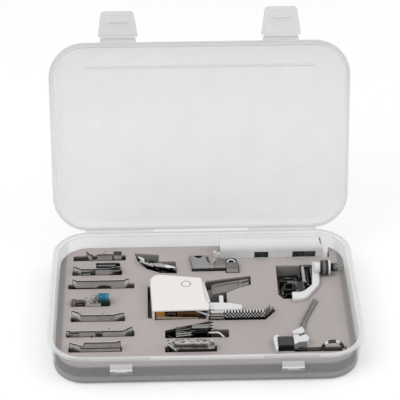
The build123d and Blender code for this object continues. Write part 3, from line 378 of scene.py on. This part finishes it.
# ---------------------------------------------------------------- foam insert
# Closed-cell foam, cut by a steel-rule die and laid on a thin backing sheet of the same foam. Its
# skin is fine and matt, the cut walls show open cells under painted shade, and a few stray pinholes
# are left where the sheet was lifted, painted as dark spots.
foam_top = 0.0133
skin_left = (0.500, 0.447, 0.434)
skin_right = (0.475, 0.434, 0.420)
skin_fleck = (0.22, 0.20, 0.195)
skin_shaded_by_wall = (0.275, 0.262, 0.252)
slot_wall_shade_left = (0.085, 0.078, 0.074)
slot_wall_shade_right = (0.13, 0.122, 0.116)
bay_wall_shade = (0.30, 0.29, 0.275)
pocket_wall_shade = (0.26, 0.25, 0.235)
bay_sides = (-0.0480, -0.0140)
bay_front = 0.0290
pocket_left = 0.044
pocket_front = 0.026
pinhole_radius = 0.00055
pinholes = ((-0.0651, 0.0563), (0.0577, 0.0459), (-0.0658, -0.0091), (-0.0727, -0.0327),
            (-0.0617, -0.0248), (-0.0522, -0.0268))


def round_patch(start, x, y, radius, blur):
    """1 inside a round patch seen from above, 0 outside."""
    return 1 - start.distance(start.part("X") - x, start.part("Y") - y).step(radius - blur, radius + blur)


def foam_material(name, die_cut):
    """Foam with a mottled skin; the die-cut layer has cut walls below its skin as well."""
    material, start = new_material(name)
    along = start.part("X")
    inward = start.part("Y")
    cells = start.noise(1500.0, 4.0)
    mottle = start.noise(34.0, 3.0)
    fleck = start.noise(3800.0, 1.0).step(0.62, 0.72)
    skin = along.step(-0.09, 0.09).tint(skin_left, skin_right)
    skin = (0.22 * mottle + 0.10 * cells + 0.16 * fleck).tint(skin, skin_fleck)
    # Close to the side walls the skin is painted darker, as their shade.
    side_wall_shade = start.size("X").step(0.0902, 0.0926)
    skin = (0.9 * side_wall_shade).tint(skin, skin_shaded_by_wall)

    # The cut walls carry painted shade: darkest in the narrow slots on the left, and lighter in the
    # gathering foot's bay and the side cutter's wide pocket, which let more light down their walls.
    if die_cut:
        below_skin = 1 - start.part("Z").step(foam_top - 0.0016, foam_top - 0.0003)
        # Each pinhole is painted as a dark spot of the cut walls' painted shade.
        for x, y in pinholes:
            hole = round_patch(start, x, y, pinhole_radius, 0.0003)
            below_skin = start.maths("MAXIMUM", below_skin, hole)
        cutter_pocket_light = along.step(pocket_left, pocket_left + 0.004)
        cutter_pocket_light = cutter_pocket_light * inward.step(pocket_front, pocket_front + 0.004)
    else:
        # The backing sheet is seen only down the cut-outs, in uneven painted shade.
        below_skin = cutter_pocket_light = start.noise(8.0)
    gathering_bay_light = along.between(*bay_sides, 0.0005) * inward.step(bay_front, bay_front + 0.0010)
    wall = along.step(-0.055, -0.040).tint(slot_wall_shade_left, slot_wall_shade_right)
    wall = gathering_bay_light.tint(wall, bay_wall_shade)
    wall = cutter_pocket_light.tint(wall, pocket_wall_shade)
    start.surface({"Base Color": below_skin.tint(skin, wall),
                   "Roughness": 0.86 + 0.1 * mottle,
                   "Normal": start.bump(cells + 0.5 * mottle, 0.00009, 0.7)})
    return material


def merged_copy(node_name, name):
    """A copy of a CAD node with its loose triangles joined into whole faces."""
    piece = bpy.data.objects.new(name, nodes[node_name].data.copy())
    bpy.context.scene.collection.objects.link(piece)
    bpy.context.view_layer.objects.active = piece
    piece.select_set(True)
    bpy.ops.mesh.customdata_custom_splitnormals_clear()
    bpy.ops.object.mode_set(mode="EDIT")
    bpy.ops.mesh.select_all(action="SELECT")
    bpy.ops.mesh.remove_doubles(threshold=0.000002)
    bpy.ops.mesh.dissolve_limited(angle_limit=radians(0.6))
    bpy.ops.object.mode_set(mode="OBJECT")
    return piece


def rounded(piece, width):
    """Rounds the sharp edges of a piece and smooths its curves."""
    bevel = piece.modifiers.new("rounded_edges", "BEVEL")
    bevel.width = width
    bevel.segments = 3
    bevel.limit_method = "ANGLE"
    bevel.angle_limit = radians(35)
    bpy.ops.object.modifier_apply(modifier="rounded_edges")
    bpy.ops.object.shade_smooth_by_angle(angle=radians(40))


def finished(piece, material, body, stands_for):
    """Gives a new piece its material and its place in the frame."""
    piece.data.materials.clear()
    piece.data.materials.append(material)
    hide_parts(stands_for)
    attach(piece, body)
    piece.select_set(False)


foam_layer = merged_copy("foam_die_cut_layer", "foam_insert")
rounded(foam_layer, 0.0003)
finished(foam_layer, foam_material("foam_skin", True), "root", "foam_die_cut_layer")
foam_back = merged_copy("foam_backing_sheet", "foam_backing")
rounded(foam_back, 0.0004)
finished(foam_back, foam_material("foam_back_skin", False), "root", "foam_backing_sheet")


# ---------------------------------------------------------------- stamped steel feet
# Zipper, hemmer, plate, sled, overcast and blind hem feet, stamped and bent from steel sheet, then
# nickel plated and tumbled. The flat faces are bright and a little rippled, with patches of painted
# reflection, the curled toes are painted duller as shade, and the flanges carry painted highlights.
# The sheared edges are much darker, partly as raw cut steel and partly as painted shade, and every
# edge has a painted dark outline.
nickel = grey(0.60)
cut_edge_and_shade_black = grey(0.02)
edge_black = grey(0.015)
nickel_highlight = (0.80, 0.80, 0.79)
plate_gap_shadow_ends = (-0.0858, -0.0708)


def plated_steel(name, face, top_face_tone, rough=0.16, line=0.0008, gap_shade=None):
    """Plated sheet standing on edge: sheared edges look up, and flanges carry a painted highlight."""
    material, start = new_material(name)
    upward = start.size("Z", "Normal")
    # Faces that look up, the sheared edges of the sheet, take a tone of their own that stands partly for raw
    # cut steel and partly for painted light and shade; the curled faces get painted shade.
    top_faces = upward.step(0.72, 0.88)
    curled_shade = upward.step(0.18, 0.34) * (1 - top_faces)
    # The flanges get a painted highlight, brighter higher up.
    flange = start.size("X", "Normal").between(0.33, 0.93, 0.06) * (1 - top_faces) * (1 - curled_shade)
    flange = flange * (0.15 + 0.75 * start.part("Z").step(0.0125, 0.0190))
    ripple = start.noise(240.0, 2.0)
    drawn = start.noise(700.0, 3.0, (1, 1, 0.12))
    # Patches of painted reflection darken the face, along with the drawn lines.
    reflection_patch = start.noise(130.0, 3.0).step(0.45, 0.75)
    colour = (0.35 * drawn + 0.55 * reflection_patch).tint(face, shaded(face, 0.45))
    colour = curled_shade.tint(colour, shaded(face, 0.30))
    colour = flange.tint(colour, nickel_highlight)
    colour = top_faces.tint(colour, top_face_tone)
    # A painted highlight runs along the rear of each top face, every edge gets a painted dark outline, and a
    # painted gap shadow may be added.
    rear_edge_highlight = start.node("SeparateXYZ", None, {0: start.eased(line)}, 1).step(0.10, 0.30) * top_faces
    dark = 0.95 * start.edge(line, 0.015, 0.08)
    if gap_shade:
        dark = (dark + gap_shade(start) * (1 - top_faces)).clipped()
    outline = dark.tint(colour, edge_black)
    start.surface({"Base Color": rear_edge_highlight.tint(outline, nickel_highlight), "Metallic": 1 - 0.7 * flange,
                   "Roughness": rough + 0.14 * ripple + 0.22 * top_faces,
                   "Normal": start.bump(ripple + 0.4 * drawn, 0.00005, easing=0.00018)})
    return material


def plate_gap_shadow(start):
    """A painted shadow line where the plate foot's left half lifts off the foam."""
    return start.part("X").between(*plate_gap_shadow_ends) * (1 - start.part("Z").step(0.0136, 0.0146))


give(plated_steel("foot_steel_plated", nickel, cut_edge_and_shade_black, line=0.0013), "zipper_foot_sole",
     "hemmer_foot", "sled_foot", "overcast_foot", "blind_hem_foot", "blind_hem_blade")
give(plated_steel("plate_foot_steel", nickel, cut_edge_and_shade_black, line=0.0013, gap_shade=plate_gap_shadow), "plate_foot")
give(plated_steel("zipper_clamp_steel", (0.66, 0.66, 0.65), grey(0.08), 0.12, 0.0009), "zipper_foot_clamp")
give(plated_steel("hemmer_screw_dark", grey(0.25), grey(0.05), 0.2), "hemmer_foot_screw")


# ---------------------------------------------------------------- gathering foot
# A cranked foot with a stepped sole and a folded flange, bent from plated steel strip, with two
# round bars pressed across it. The flat folds carry painted highlights, and the bends between are
# painted black as shade.
highlight_folds = ((-0.0432, -0.0388), (-0.0366, -0.0338))
middle_lit_fold = (-0.0336, -0.0250)
right_highlight_x = -0.0252
rear_half_y = 0.0384
rear_highlight_end = -0.0372

folded_steel, start = new_material("gathering_foot_steel")
along = start.part("X")
rear_half = start.part("Y").step(rear_half_y, rear_half_y + 0.0004)
hammered = start.noise(330.0, 2.0, (0.55, 1.0, 1.6))
top = start.part("Z", "Normal").step(0.6, 0.8)
# The tops of the flat folds get painted highlights, and the middle fold's top a softer painted light.
painted_highlight = along.step(right_highlight_x, right_highlight_x + 0.0006)
for left_end, right_end in highlight_folds:
    painted_highlight = painted_highlight + along.between(left_end, right_end)
painted_highlight = top * (painted_highlight * (1 - rear_half * along.step(rear_highlight_end, rear_highlight_end + 0.0002)))
middle_light = top * (along.between(*middle_lit_fold) * (1 - rear_half))
# Faces that do not look up are painted black as shade, flecked grey by the hammering, and every edge gets a
# painted dark outline.
colour = (hammered.step(0.54, 0.60) * (1 - top)).tint(cut_edge_and_shade_black, (0.50, 0.50, 0.49))
colour = middle_light.tint(colour, (0.48, 0.50, 0.47))
colour = painted_highlight.tint(colour, (0.85, 0.85, 0.84))
start.surface({"Base Color": (0.9 * start.edge(0.0007)).tint(colour, grey(0.012)),
               "Metallic": 1 - 0.6 * painted_highlight, "Roughness": 0.12 + 0.2 * hammered,
               "Normal": start.bump(hammered, 0.0002, 0.6, 0.0003)})
give(folded_steel, "gathering_foot")
pin_steel = plated_steel("pin_steel_bright", (0.72, 0.72, 0.73), (0.26, 0.26, 0.27), 0.12, 0.0006)
give(pin_steel, "gathering_foot_bars")


# ---------------------------------------------------------------- low-shank foot
# A low-shank foot in three pieces: a slotted shank of satin steel on its spine, a milled neck
# block with a sloping face, and a plated sole, pressed into an arch with a painted highlight on its rim.
block_rear_y = 0.0346
arch_centre = (0.0194, 0.0380)
arch_front_y = 0.0376
arch_highlight_radii = (0.0019, 0.0029)

# The shank's tops are painted lighter than its dark faces, as light and shade.
give(plated_steel("shank_steel_satin", grey(0.10), (0.36, 0.355, 0.36), 0.3, 0.0006), "low_shank_shank")

block_steel, start = new_material("shank_block_steel")
# The block's rear is painted lit and the rest in shade, with a painted dark outline on its edges.
lit_rear = start.part("Y").step(block_rear_y, block_rear_y + 0.0010)
colour = lit_rear.tint((0.012, 0.012, 0.010), (0.25, 0.242, 0.225))
colour = (0.9 * start.edge(0.0010)).tint(colour, grey(0.012))
start.grained(colour, start.noise(240.0, 2.0), 0.2, 0.8)
give(block_steel, "low_shank_block")

arch_steel, start = new_material("shank_sole_steel")
inward = start.part("Y")
reach = start.distance(start.part("X") - arch_centre[0], inward - arch_centre[1])
top = start.part("Z", "Normal").step(0.6, 0.8)
arched = inward.step(arch_front_y, arch_front_y + 0.0003) * top
# The arch's rim gets a painted highlight with painted shadow inside it, its tops are painted darker, and its
# edges get a painted dark outline.
rim = reach.between(*arch_highlight_radii, 0.00015) * arched
shadow = reach.step(arch_highlight_radii[1], arch_highlight_radii[1] + 0.0002) * arched
colour = shadow.tint(top.tint((0.60, 0.60, 0.58), (0.22, 0.22, 0.21)), cut_edge_and_shade_black)
colour = (0.9 * start.edge(0.0008)).tint(colour, edge_black)
start.grained(rim.tint(colour, (0.86, 0.86, 0.85)), start.noise(240.0, 2.0), 0.14, 1 - 0.6 * rim)
give(arch_steel, "low_shank_sole")


# ---------------------------------------------------------------- binder foot
# A body plate of blackened steel, with a paler patch on its face and painted highlights on three
# stubs at its end. Fixed on it is a folder of bright sheet, whose turns curl the tape round the
# fabric's edge, painted near black with bands of painted highlight, and a stiff bent wire that
# guides the tape in.
pale_face = (-0.0088, 0.0040)
pale_face_top = 0.0178
pale_face_slope = 0.24
stub_left = 0.0036
stub_level = 0.0147
stub_pitch = 0.0024
folder_turns = (-0.0194, -0.0092)
folder_right = 0.0018
turn_pitch = 0.0018
turn_slope = 0.12
folder_highlight = (0.70, 0.72, 0.70)

binder_steel, start = new_material("binder_black_steel")
along = start.part("X")
level = start.part("Z")
upward = start.part("Z", "Normal").step(0.5, 0.8)
face_top = pale_face_top + pale_face_slope * (along - pale_face[0])
pale_mark = along.between(*pale_face, 0.0003) * (level - face_top).between(-0.0052, 0.0016, 0.0003)
pale_mark = pale_mark * (1 - upward)
# Bands of painted highlight lie across the three stubs.
stub_highlights = start.maths("COSINE", (level - stub_level) * (2 * pi / stub_pitch)).step(0.1, 0.4)
stub_highlights = along.step(stub_left, stub_left + 0.0002) * stub_highlights
plate = pale_mark.tint((0.022, 0.022, 0.020), (0.56, 0.57, 0.54))
start.grained(stub_highlights.tint(plate, (0.95, 0.95, 0.94)), start.noise(240.0, 2.0), 0.16, 1 - 0.9 * stub_highlights)
give(binder_steel, "binder_foot")

folder_steel, start = new_material("binder_folder_steel")
along = start.part("X")
upward = start.part("Z", "Normal").step(0.4, 0.7)
# The folder's turns carry bands of painted highlight, and its body is painted near black as dark reflection,
# with painted glints in specks.
turn_highlights = start.maths("SINE", (start.part("Z") - turn_slope * along) * (2 * pi / turn_pitch))
turn_highlights = turn_highlights.step(-0.2, 0.2) * (1 - upward)
ripple = start.noise(260.0, 2.0)
glint_speck = start.noise(900.0, 2.0).step(0.62, 0.70)
flange = along.between(folder_turns[1], folder_right, 0.0003) * upward
wire = along.step(folder_right, folder_right + 0.0003)
body = (0.35 * glint_speck * (1 - flange)).tint(cut_edge_and_shade_black, folder_highlight)
body = flange.tint(body, (0.25, 0.255, 0.24))
scroll = turn_highlights.tint(upward.tint((0.10, 0.11, 0.10), cut_edge_and_shade_black), folder_highlight)
colour = along.between(*folder_turns).tint(body, scroll)
start.surface({"Base Color": wire.tint(colour, (0.72, 0.72, 0.70)),
               "Metallic": (1 - 0.6 * turn_highlights) * (1 - 0.7 * wire),
               "Roughness": 0.18 + 0.2 * ripple,
               "Normal": start.bump(ripple, 0.00006, 0.6, 0.00015)})
give(folder_steel, "binder_folder")


# ---------------------------------------------------------------- satin foot
# Moulded from clear acrylic, with side walls all round, a stitch tunnel under it and a steel snap
# bar pressed in. Its faces are polished, and facets inside are painted as specks of light and shade.
satin_front_y = -0.0464
window_sides = (-0.0205, 0.0010)
window_levels = (0.0156, 0.0189)
bevel_start = (-0.0261, 0.0185)
bevel_slope = 0.65
front_foot_top = 0.0150


def clear_acrylic(name, colour, shade, grain, calm_part, streak):
    """Clear plastic with painted specks of light and shade, calm and painted dark on one part, and with
    painted shade and highlights along its form.
    """
    material, start = new_material(name)
    facets = start.noise(grain, 2.0, (0.6, 1, 1.2))
    calm = calm_part(start)
    # Specks and the calm part are painted shade, white specks are painted glints, and every edge gets a
    # painted dark outline.
    dark = (0.9 * facets.step(0.48, 0.42) * (1 - calm) + 0.92 * calm).clipped()
    white = start.noise(1.3 * grain, 2.0, (0.5, 1, 1)).step(0.60, 0.66) * (1 - calm)
    colour = (0.7 * start.edge(0.0006)).tint(dark.tint(colour, shade), (0.10, 0.09, 0.08))
    painted_dark, painted_highlight = streak(start)
    colour = painted_dark.tint(colour, (0.02, 0.018, 0.016))
    white = (white * (1 - 0.7 * painted_dark) + painted_highlight).clipped()
    start.surface({"Base Color": white.tint(colour, (0.95, 0.95, 0.94)),
                   "Roughness": 0.05 + 0.16 * facets, "IOR": 1.49, "Transmission Weight": 0.42,
                   "Normal": start.bump(facets * (1 - calm), 0.0004, 0.8, 0.00025)})
    return material


def satin_front(start):
    """1 on the satin foot's front face, its recess included."""
    return 1 - start.part("Y").step(satin_front_y, satin_front_y + 0.0002)


def satin_window(start):
    """The long smooth panel in the satin foot's front, over its stitch tunnel, painted dark as the tunnel's
    shade.
    """
    panel = start.part("X").between(*window_sides, 0.0006) * start.part("Z").between(*window_levels)
    return satin_front(start) * panel


def satin_streak(start):
    """The painted shade at the foot of the front and under the bevel, and the painted highlight on the bevel
    that runs down its left end.
    """
    along = start.part("X")
    level = start.part("Z")
    bevel = level - bevel_start[1] + bevel_slope * (along - bevel_start[0])
    foot = satin_front(start) * (1 - level.step(front_foot_top, front_foot_top + 0.0004))
    under_bevel_shade = (1 - bevel.step(-0.0012, -0.0008)) * (1 - along.step(-0.0215, -0.0205))
    painted_highlight = bevel.between(-0.0009, 0.0009) * (1 - along.step(-0.0195, -0.0180))
    return (foot + under_bevel_shade).clipped(), painted_highlight


give(clear_acrylic("satin_foot_acrylic", (0.66, 0.64, 0.61), (0.055, 0.048, 0.042), 520.0,
                   satin_window, satin_streak), "satin_foot")
give(pin_steel, "satin_foot_bar")


# ---------------------------------------------------------------- edge guide foot
# A second foot of clear acrylic, with a steel rod pressed into it. The guide is a block moulded
# in blue tinted plastic, which is pushed on to the rod and slides along it.
post_right = -0.0826
gap_right = -0.0772
gap_top = 0.0172
body_left = -0.0764
body_right = -0.0674
body_foot = 0.0139
corner_top = 0.0160
pale_end = (-0.0650, -0.0618)
green_shade_levels = (0.0178, 0.0192)
black_shade_levels = (0.0158, 0.0180)


def guide_post(start):
    """The guide foot's left post, painted dark, as the foam's shade seen through it."""
    return 1 - start.part("X").step(post_right - 0.0006, post_right)


def guide_streak(start):
    """The painted shade in the gap between the guide foot's post and its body, and the painted highlights on
    the body's lower edges.
    """
    along = start.part("X")
    level = start.part("Z")
    gap_shade = along.between(post_right, gap_right, 0.0003) * (1 - level.step(gap_top, gap_top + 0.0008))
    sill_highlight = along.between(body_left, body_right) * level.between(body_foot, body_foot + 0.0008)
    corner_highlight = along.between(body_left, body_left + 0.0016) * level.between(body_foot, corner_top, 0.0003)
    return 0.85 * gap_shade, (sill_highlight + corner_highlight).clipped()


give(clear_acrylic("guide_foot_acrylic", (0.66, 0.62, 0.56), (0.15, 0.12, 0.09), 460.0,
                   guide_post, guide_streak), "edge_guide_foot")
give(pin_steel, "edge_guide_rod")

guide_blue, start = new_material("guide_block_blue")
level = start.part("Z")
swirl = start.noise(300.0, 2.0)
pale = start.part("X").step(*pale_end)
# The block is paler towards its right end, and painted shade turns it green and then near black towards its
# foot.
blue = (0.7 * pale + 0.3 * swirl).tint((0.004, 0.120, 0.190), (0.06, 0.26, 0.38))
blue = level.step(*green_shade_levels).tint((0.006, 0.075, 0.080), blue)
blue = level.step(*black_shade_levels).tint((0.002, 0.010, 0.008), blue)
start.surface({"Base Color": blue, "Roughness": 0.12 + 0.1 * swirl, "IOR": 1.49, "Specular IOR Level": 0.3,
               "Normal": start.bump(swirl, 0.0002, 0.4, 0.0002)})
give(guide_blue, "edge_guide_blue")


# ---------------------------------------------------------------- buttonhole foot
# A long open frame and its stop, moulded in glossy white plastic with a faint waviness. The slider
# that rides inside it is glass-filled nylon, near black and fine matt.
def moulded_plastic(name, colour, rough, clouding=0.12, groove_shade=None, front_shade_share=None):
    """Moulded plastic; a groove may be painted dark with shade, or its front faces may be matt and painted
    darker, as shade.
    """
    material, start = new_material(name)
    haze = start.noise(90.0, 3.0)
    grain = start.noise(3000.0, 1.0)
    base = (clouding * haze).tint(colour, shaded(colour, 0.8))
    coat, gloss = 0.15, 0.5
    if groove_shade:
        base = groove_shade(start).tint(base, (0.05, 0.048, 0.045))
    if front_shade_share:
        front_shade = 1 - start.part("Y", "Normal").step(-0.75, -0.45)
        base = front_shade.tint(base, shaded(colour, front_shade_share))
        coat, gloss = 0.0, 0.15
    start.surface({"Base Color": base, "Roughness": rough + 0.1 * haze,
                   "Coat Weight": coat, "Specular IOR Level": gloss,
                   "Normal": start.bump(grain + 3 * haze, 0.00003, 0.4, 0.0003)})
    return material


white_moulding = moulded_plastic("moulding_white", (0.74, 0.74, 0.745), 0.34)
give(white_moulding, "buttonhole_frame", "buttonhole_stop")
give(moulded_plastic("nylon_dark", (0.028, 0.027, 0.027), 0.42), "buttonhole_slider")


# ---------------------------------------------------------------- side cutter
# A white moulded bracket and collar carry a black nylon frame. Its knives, guide bar and clamp
# screw are ground steel, and the pusher rod's return spring is wound of blackened round wire.
spring_turns = 10
spring_start = Vector((0.0699, 0.0189, 0.0117))
spring_length = 0.0153
spring_radius = 0.0015
wire_radius = 0.00038
wire_sides = 8
steps_a_turn = 14
nut_ridge = (0.0800, 0.0817)
screw_end = (0.0858, 0.0890)

give(white_moulding, "side_cutter_bracket", "side_cutter_collar")

frame_nylon, start = new_material("nylon_cutter_frame")
# Painted highlights glint along the frame's edges in patches.
glint_patches = start.noise(420.0, 2.0).step(0.44, 0.50)
pale_mark = glint_patches * start.edge(0.0007, 0.02, 0.10)
start.grained(pale_mark.tint(grey(0.010), (0.58, 0.57, 0.55)), glint_patches, 0.34, depth=0.00004, spread=0.1)
give(frame_nylon, "side_cutter_frame")

nut_nylon, start = new_material("nylon_thumb_nut")
ridge = start.part("X").between(*nut_ridge)
turned = start.noise(1800.0, 2.0)
start.grained((ridge * (0.6 + 0.8 * turned)).tint(grey(0.020), (0.17, 0.165, 0.16)), turned, 0.35,
              depth=0.00004)
give(nut_nylon, "side_cutter_thumb_nut")


def ground_steel(name, colour, rough=0.24):
    """Bare steel with the fine lines of a grinding wheel or a drawing die."""
    material, start = new_material(name)
    drawn = start.noise(900.0, 3.0, (1, 0.1, 1))
    start.surface({"Base Color": drawn.tint(shaded(colour, 0.55), colour), "Metallic": 1.0,
                   "Roughness": rough + 0.16 * drawn,
                   "Normal": start.bump(drawn, 0.00004, easing=0.00015)})
    return material


tool_steel = ground_steel("tool_steel_ground", (0.60, 0.60, 0.61))
give(tool_steel, "side_cutter_guide_bar")
give(ground_steel("knife_steel", (0.062, 0.062, 0.056), 0.3), "side_cutter_knives")

screw_steel, start = new_material("screw_steel")
# The screw's end carries a painted highlight; the rest is near black.
turned = start.noise(1400.0, 2.0, (0.1, 1, 1))
end_highlight = start.part("X").step(*screw_end) * (0.2 + turned)
start.grained(end_highlight.tint(edge_black, (0.26, 0.26, 0.24)), turned, 0.16, 1.0, 0.00004)
give(screw_steel, "side_cutter_clamp_screw")

bpy.ops.mesh.primitive_circle_add(vertices=wire_sides, radius=wire_radius, fill_type="NOTHING",
                                  location=spring_start + Vector((spring_radius, 0, 0)))
spring = bpy.context.object
spring.name = "side_cutter_return_spring"
bpy.context.scene.cursor.location = spring_start
bpy.ops.object.origin_set(type="ORIGIN_CURSOR")
winding = spring.modifiers.new("winding", "SCREW")
winding.axis = "Y"
winding.angle = 2 * pi
winding.screw_offset = spring_length / spring_turns
winding.iterations = spring_turns
winding.steps = steps_a_turn
winding.render_steps = steps_a_turn
bpy.ops.object.modifier_apply(modifier="winding")
bpy.ops.object.transform_apply(location=True, rotation=True, scale=True)
bpy.ops.object.mode_set(mode="EDIT")
bpy.ops.mesh.select_all(action="SELECT")
bpy.ops.mesh.fill_holes(sides=wire_sides)
bpy.ops.mesh.normals_make_consistent(inside=False)
bpy.ops.object.mode_set(mode="OBJECT")
bpy.ops.object.shade_smooth_by_angle(angle=radians(60))
finished(spring, ground_steel("spring_wire", (0.055, 0.056, 0.060), 0.3), "side_cutter",
         "side_cutter_spring")


# ---------------------------------------------------------------- free-motion foot
# A charcoal nylon block, with a white clip and white cheeks fixed to it. The needle lever is
# stamped steel on a post, and the polished ring's arm slides in the block's bore.
ring_x = 0.0798
ring_z = 0.0133
ring_highlight_bands = 6.0
ring_arm_end = 0.0725

give(white_moulding, "darning_foot_clip")
# The cheeks' and the block's front faces are painted darker, as shade.
give(moulded_plastic("moulding_cheeks", (0.72, 0.72, 0.73), 0.34, 0.2, front_shade_share=0.4),
     "darning_foot_cheeks")
give(moulded_plastic("nylon_charcoal", (0.058, 0.058, 0.060), 0.4, front_shade_share=0.08), "darning_foot_block")
give(ground_steel("lever_steel", (0.36, 0.355, 0.35), 0.3), "darning_foot_lever")

ring_steel, start = new_material("ring_steel")
# The ring is painted dark, with bands of painted highlight round its loop, away from its arm.
around = start.maths("ARCTAN2", start.part("Z") - ring_z, start.part("X") - ring_x)
highlight_band = start.maths("SINE", around * ring_highlight_bands + 0.9).step(0.35, 0.65)
highlight_band = start.part("X").step(ring_arm_end, ring_arm_end + 0.0010) * highlight_band
drawn = start.noise(400.0, 2.0)
colour = highlight_band.tint((0.075, 0.073, 0.068), (0.78, 0.78, 0.76))
start.grained((0.4 * drawn).tint(colour, cut_edge_and_shade_black), drawn, 0.16, 1 - 0.5 * highlight_band)
give(ring_steel, "darning_foot_ring")


# ---------------------------------------------------------------- walking foot
# Housing and cover are warm white mouldings that meet on a middle plane, with a shallow bare ring
# in the upper one. The clamp and cam in the open mouth are brass, the fork arm that turns on a
# ground pin is grey nylon, and the knurled feed jaw works in a sole of plated steel.
cover_ring_centre = (-0.0115, 0.0100)
cover_ring_radii = (0.0032, 0.0027)
cam_bar_y = -0.0153
knurl_along = 3150.0
knurl_up = 2240.0
rib_pitch = 0.0021
ribbed_to_x = 0.0128
toe_x = 0.0392


def cover_ring(start):
    """The painted shade in the groove of the bare ring in the upper shell."""
    outer, inner = [round_patch(start, *cover_ring_centre, radius, 0.00008) for radius in cover_ring_radii]
    return 0.8 * (outer - inner).clipped()


give(moulded_plastic("housing_warm_white", (0.845, 0.815, 0.785), 0.36, 0.1, cover_ring),
     "walking_foot_housing", "walking_foot_cover")
give(white_moulding, "walking_foot_jaw_carrier")
give(moulded_plastic("nylon_grey", (0.215, 0.200, 0.188), 0.5), "walking_foot_fork_arm")
give(tool_steel, "walking_foot_pivot_pin")
give(ground_steel("plunger_steel", (0.20, 0.17, 0.14)), "walking_foot_plunger")
give(plated_steel("link_steel", (0.85, 0.85, 0.84), nickel_highlight, 0.12, 0.0003), "walking_foot_link")

clamp_brass, start = new_material("clamp_brass")
wear = start.noise(220.0, 3.0)
start.grained(wear.tint((0.42, 0.20, 0.06), (0.80, 0.42, 0.13)), wear, 0.28, 1.0, 0.00006)
give(clamp_brass, "walking_foot_clamp")

cam_brass, start = new_material("cam_brass")
wear = start.noise(260.0, 3.0)
front_bar = 1 - start.part("Y").step(cam_bar_y, cam_bar_y + 0.0002)
brown = wear.tint((0.10, 0.05, 0.02), (0.32, 0.17, 0.07))
start.grained(front_bar.tint(brown, (0.42, 0.35, 0.27)), wear, 0.3, 1 - 0.8 * front_bar, 0.00006)
give(cam_brass, "walking_foot_cam")

knurled, start = new_material("jaw_steel_knurled")
# The knurl's diamonds are painted as lit and shaded checks, with a bump to match.
across = start.maths("SINE", start.part("X") * knurl_along)
upward = start.maths("SINE", start.part("Z") * knurl_up)
lit_diamonds = (across * upward).step(-0.08, 0.08)
start.surface({"Base Color": lit_diamonds.tint(grey(0.008), (0.78, 0.78, 0.77)),
               "Metallic": 1 - 0.55 * lit_diamonds, "Roughness": 0.2 + 0.2 * lit_diamonds,
               "Normal": start.bump(lit_diamonds, 0.0002, 0.8)})
give(knurled, "walking_foot_feed_jaw")

sole_steel, start = new_material("walking_sole_steel")
along = start.part("X")
# Bands of painted light and shade stand for the ribs at the heel; the rest is painted near black as shade,
# paler at the toe.
rib_light_bands = start.maths("SINE", start.part("Z") * (2 * pi / rib_pitch) + 0.6).step(-0.2, 0.3)
rib_light_bands = rib_light_bands * (1 - along.step(ribbed_to_x, ribbed_to_x + 0.0004))
plain = along.step(toe_x, toe_x + 0.0008).tint((0.035, 0.035, 0.034), grey(0.24))
start.grained(rib_light_bands.tint(plain, (0.62, 0.62, 0.60)), start.noise(240.0, 2.0), 0.18, 1 - 0.5 * rib_light_bands)
give(sole_steel, "walking_foot_sole")
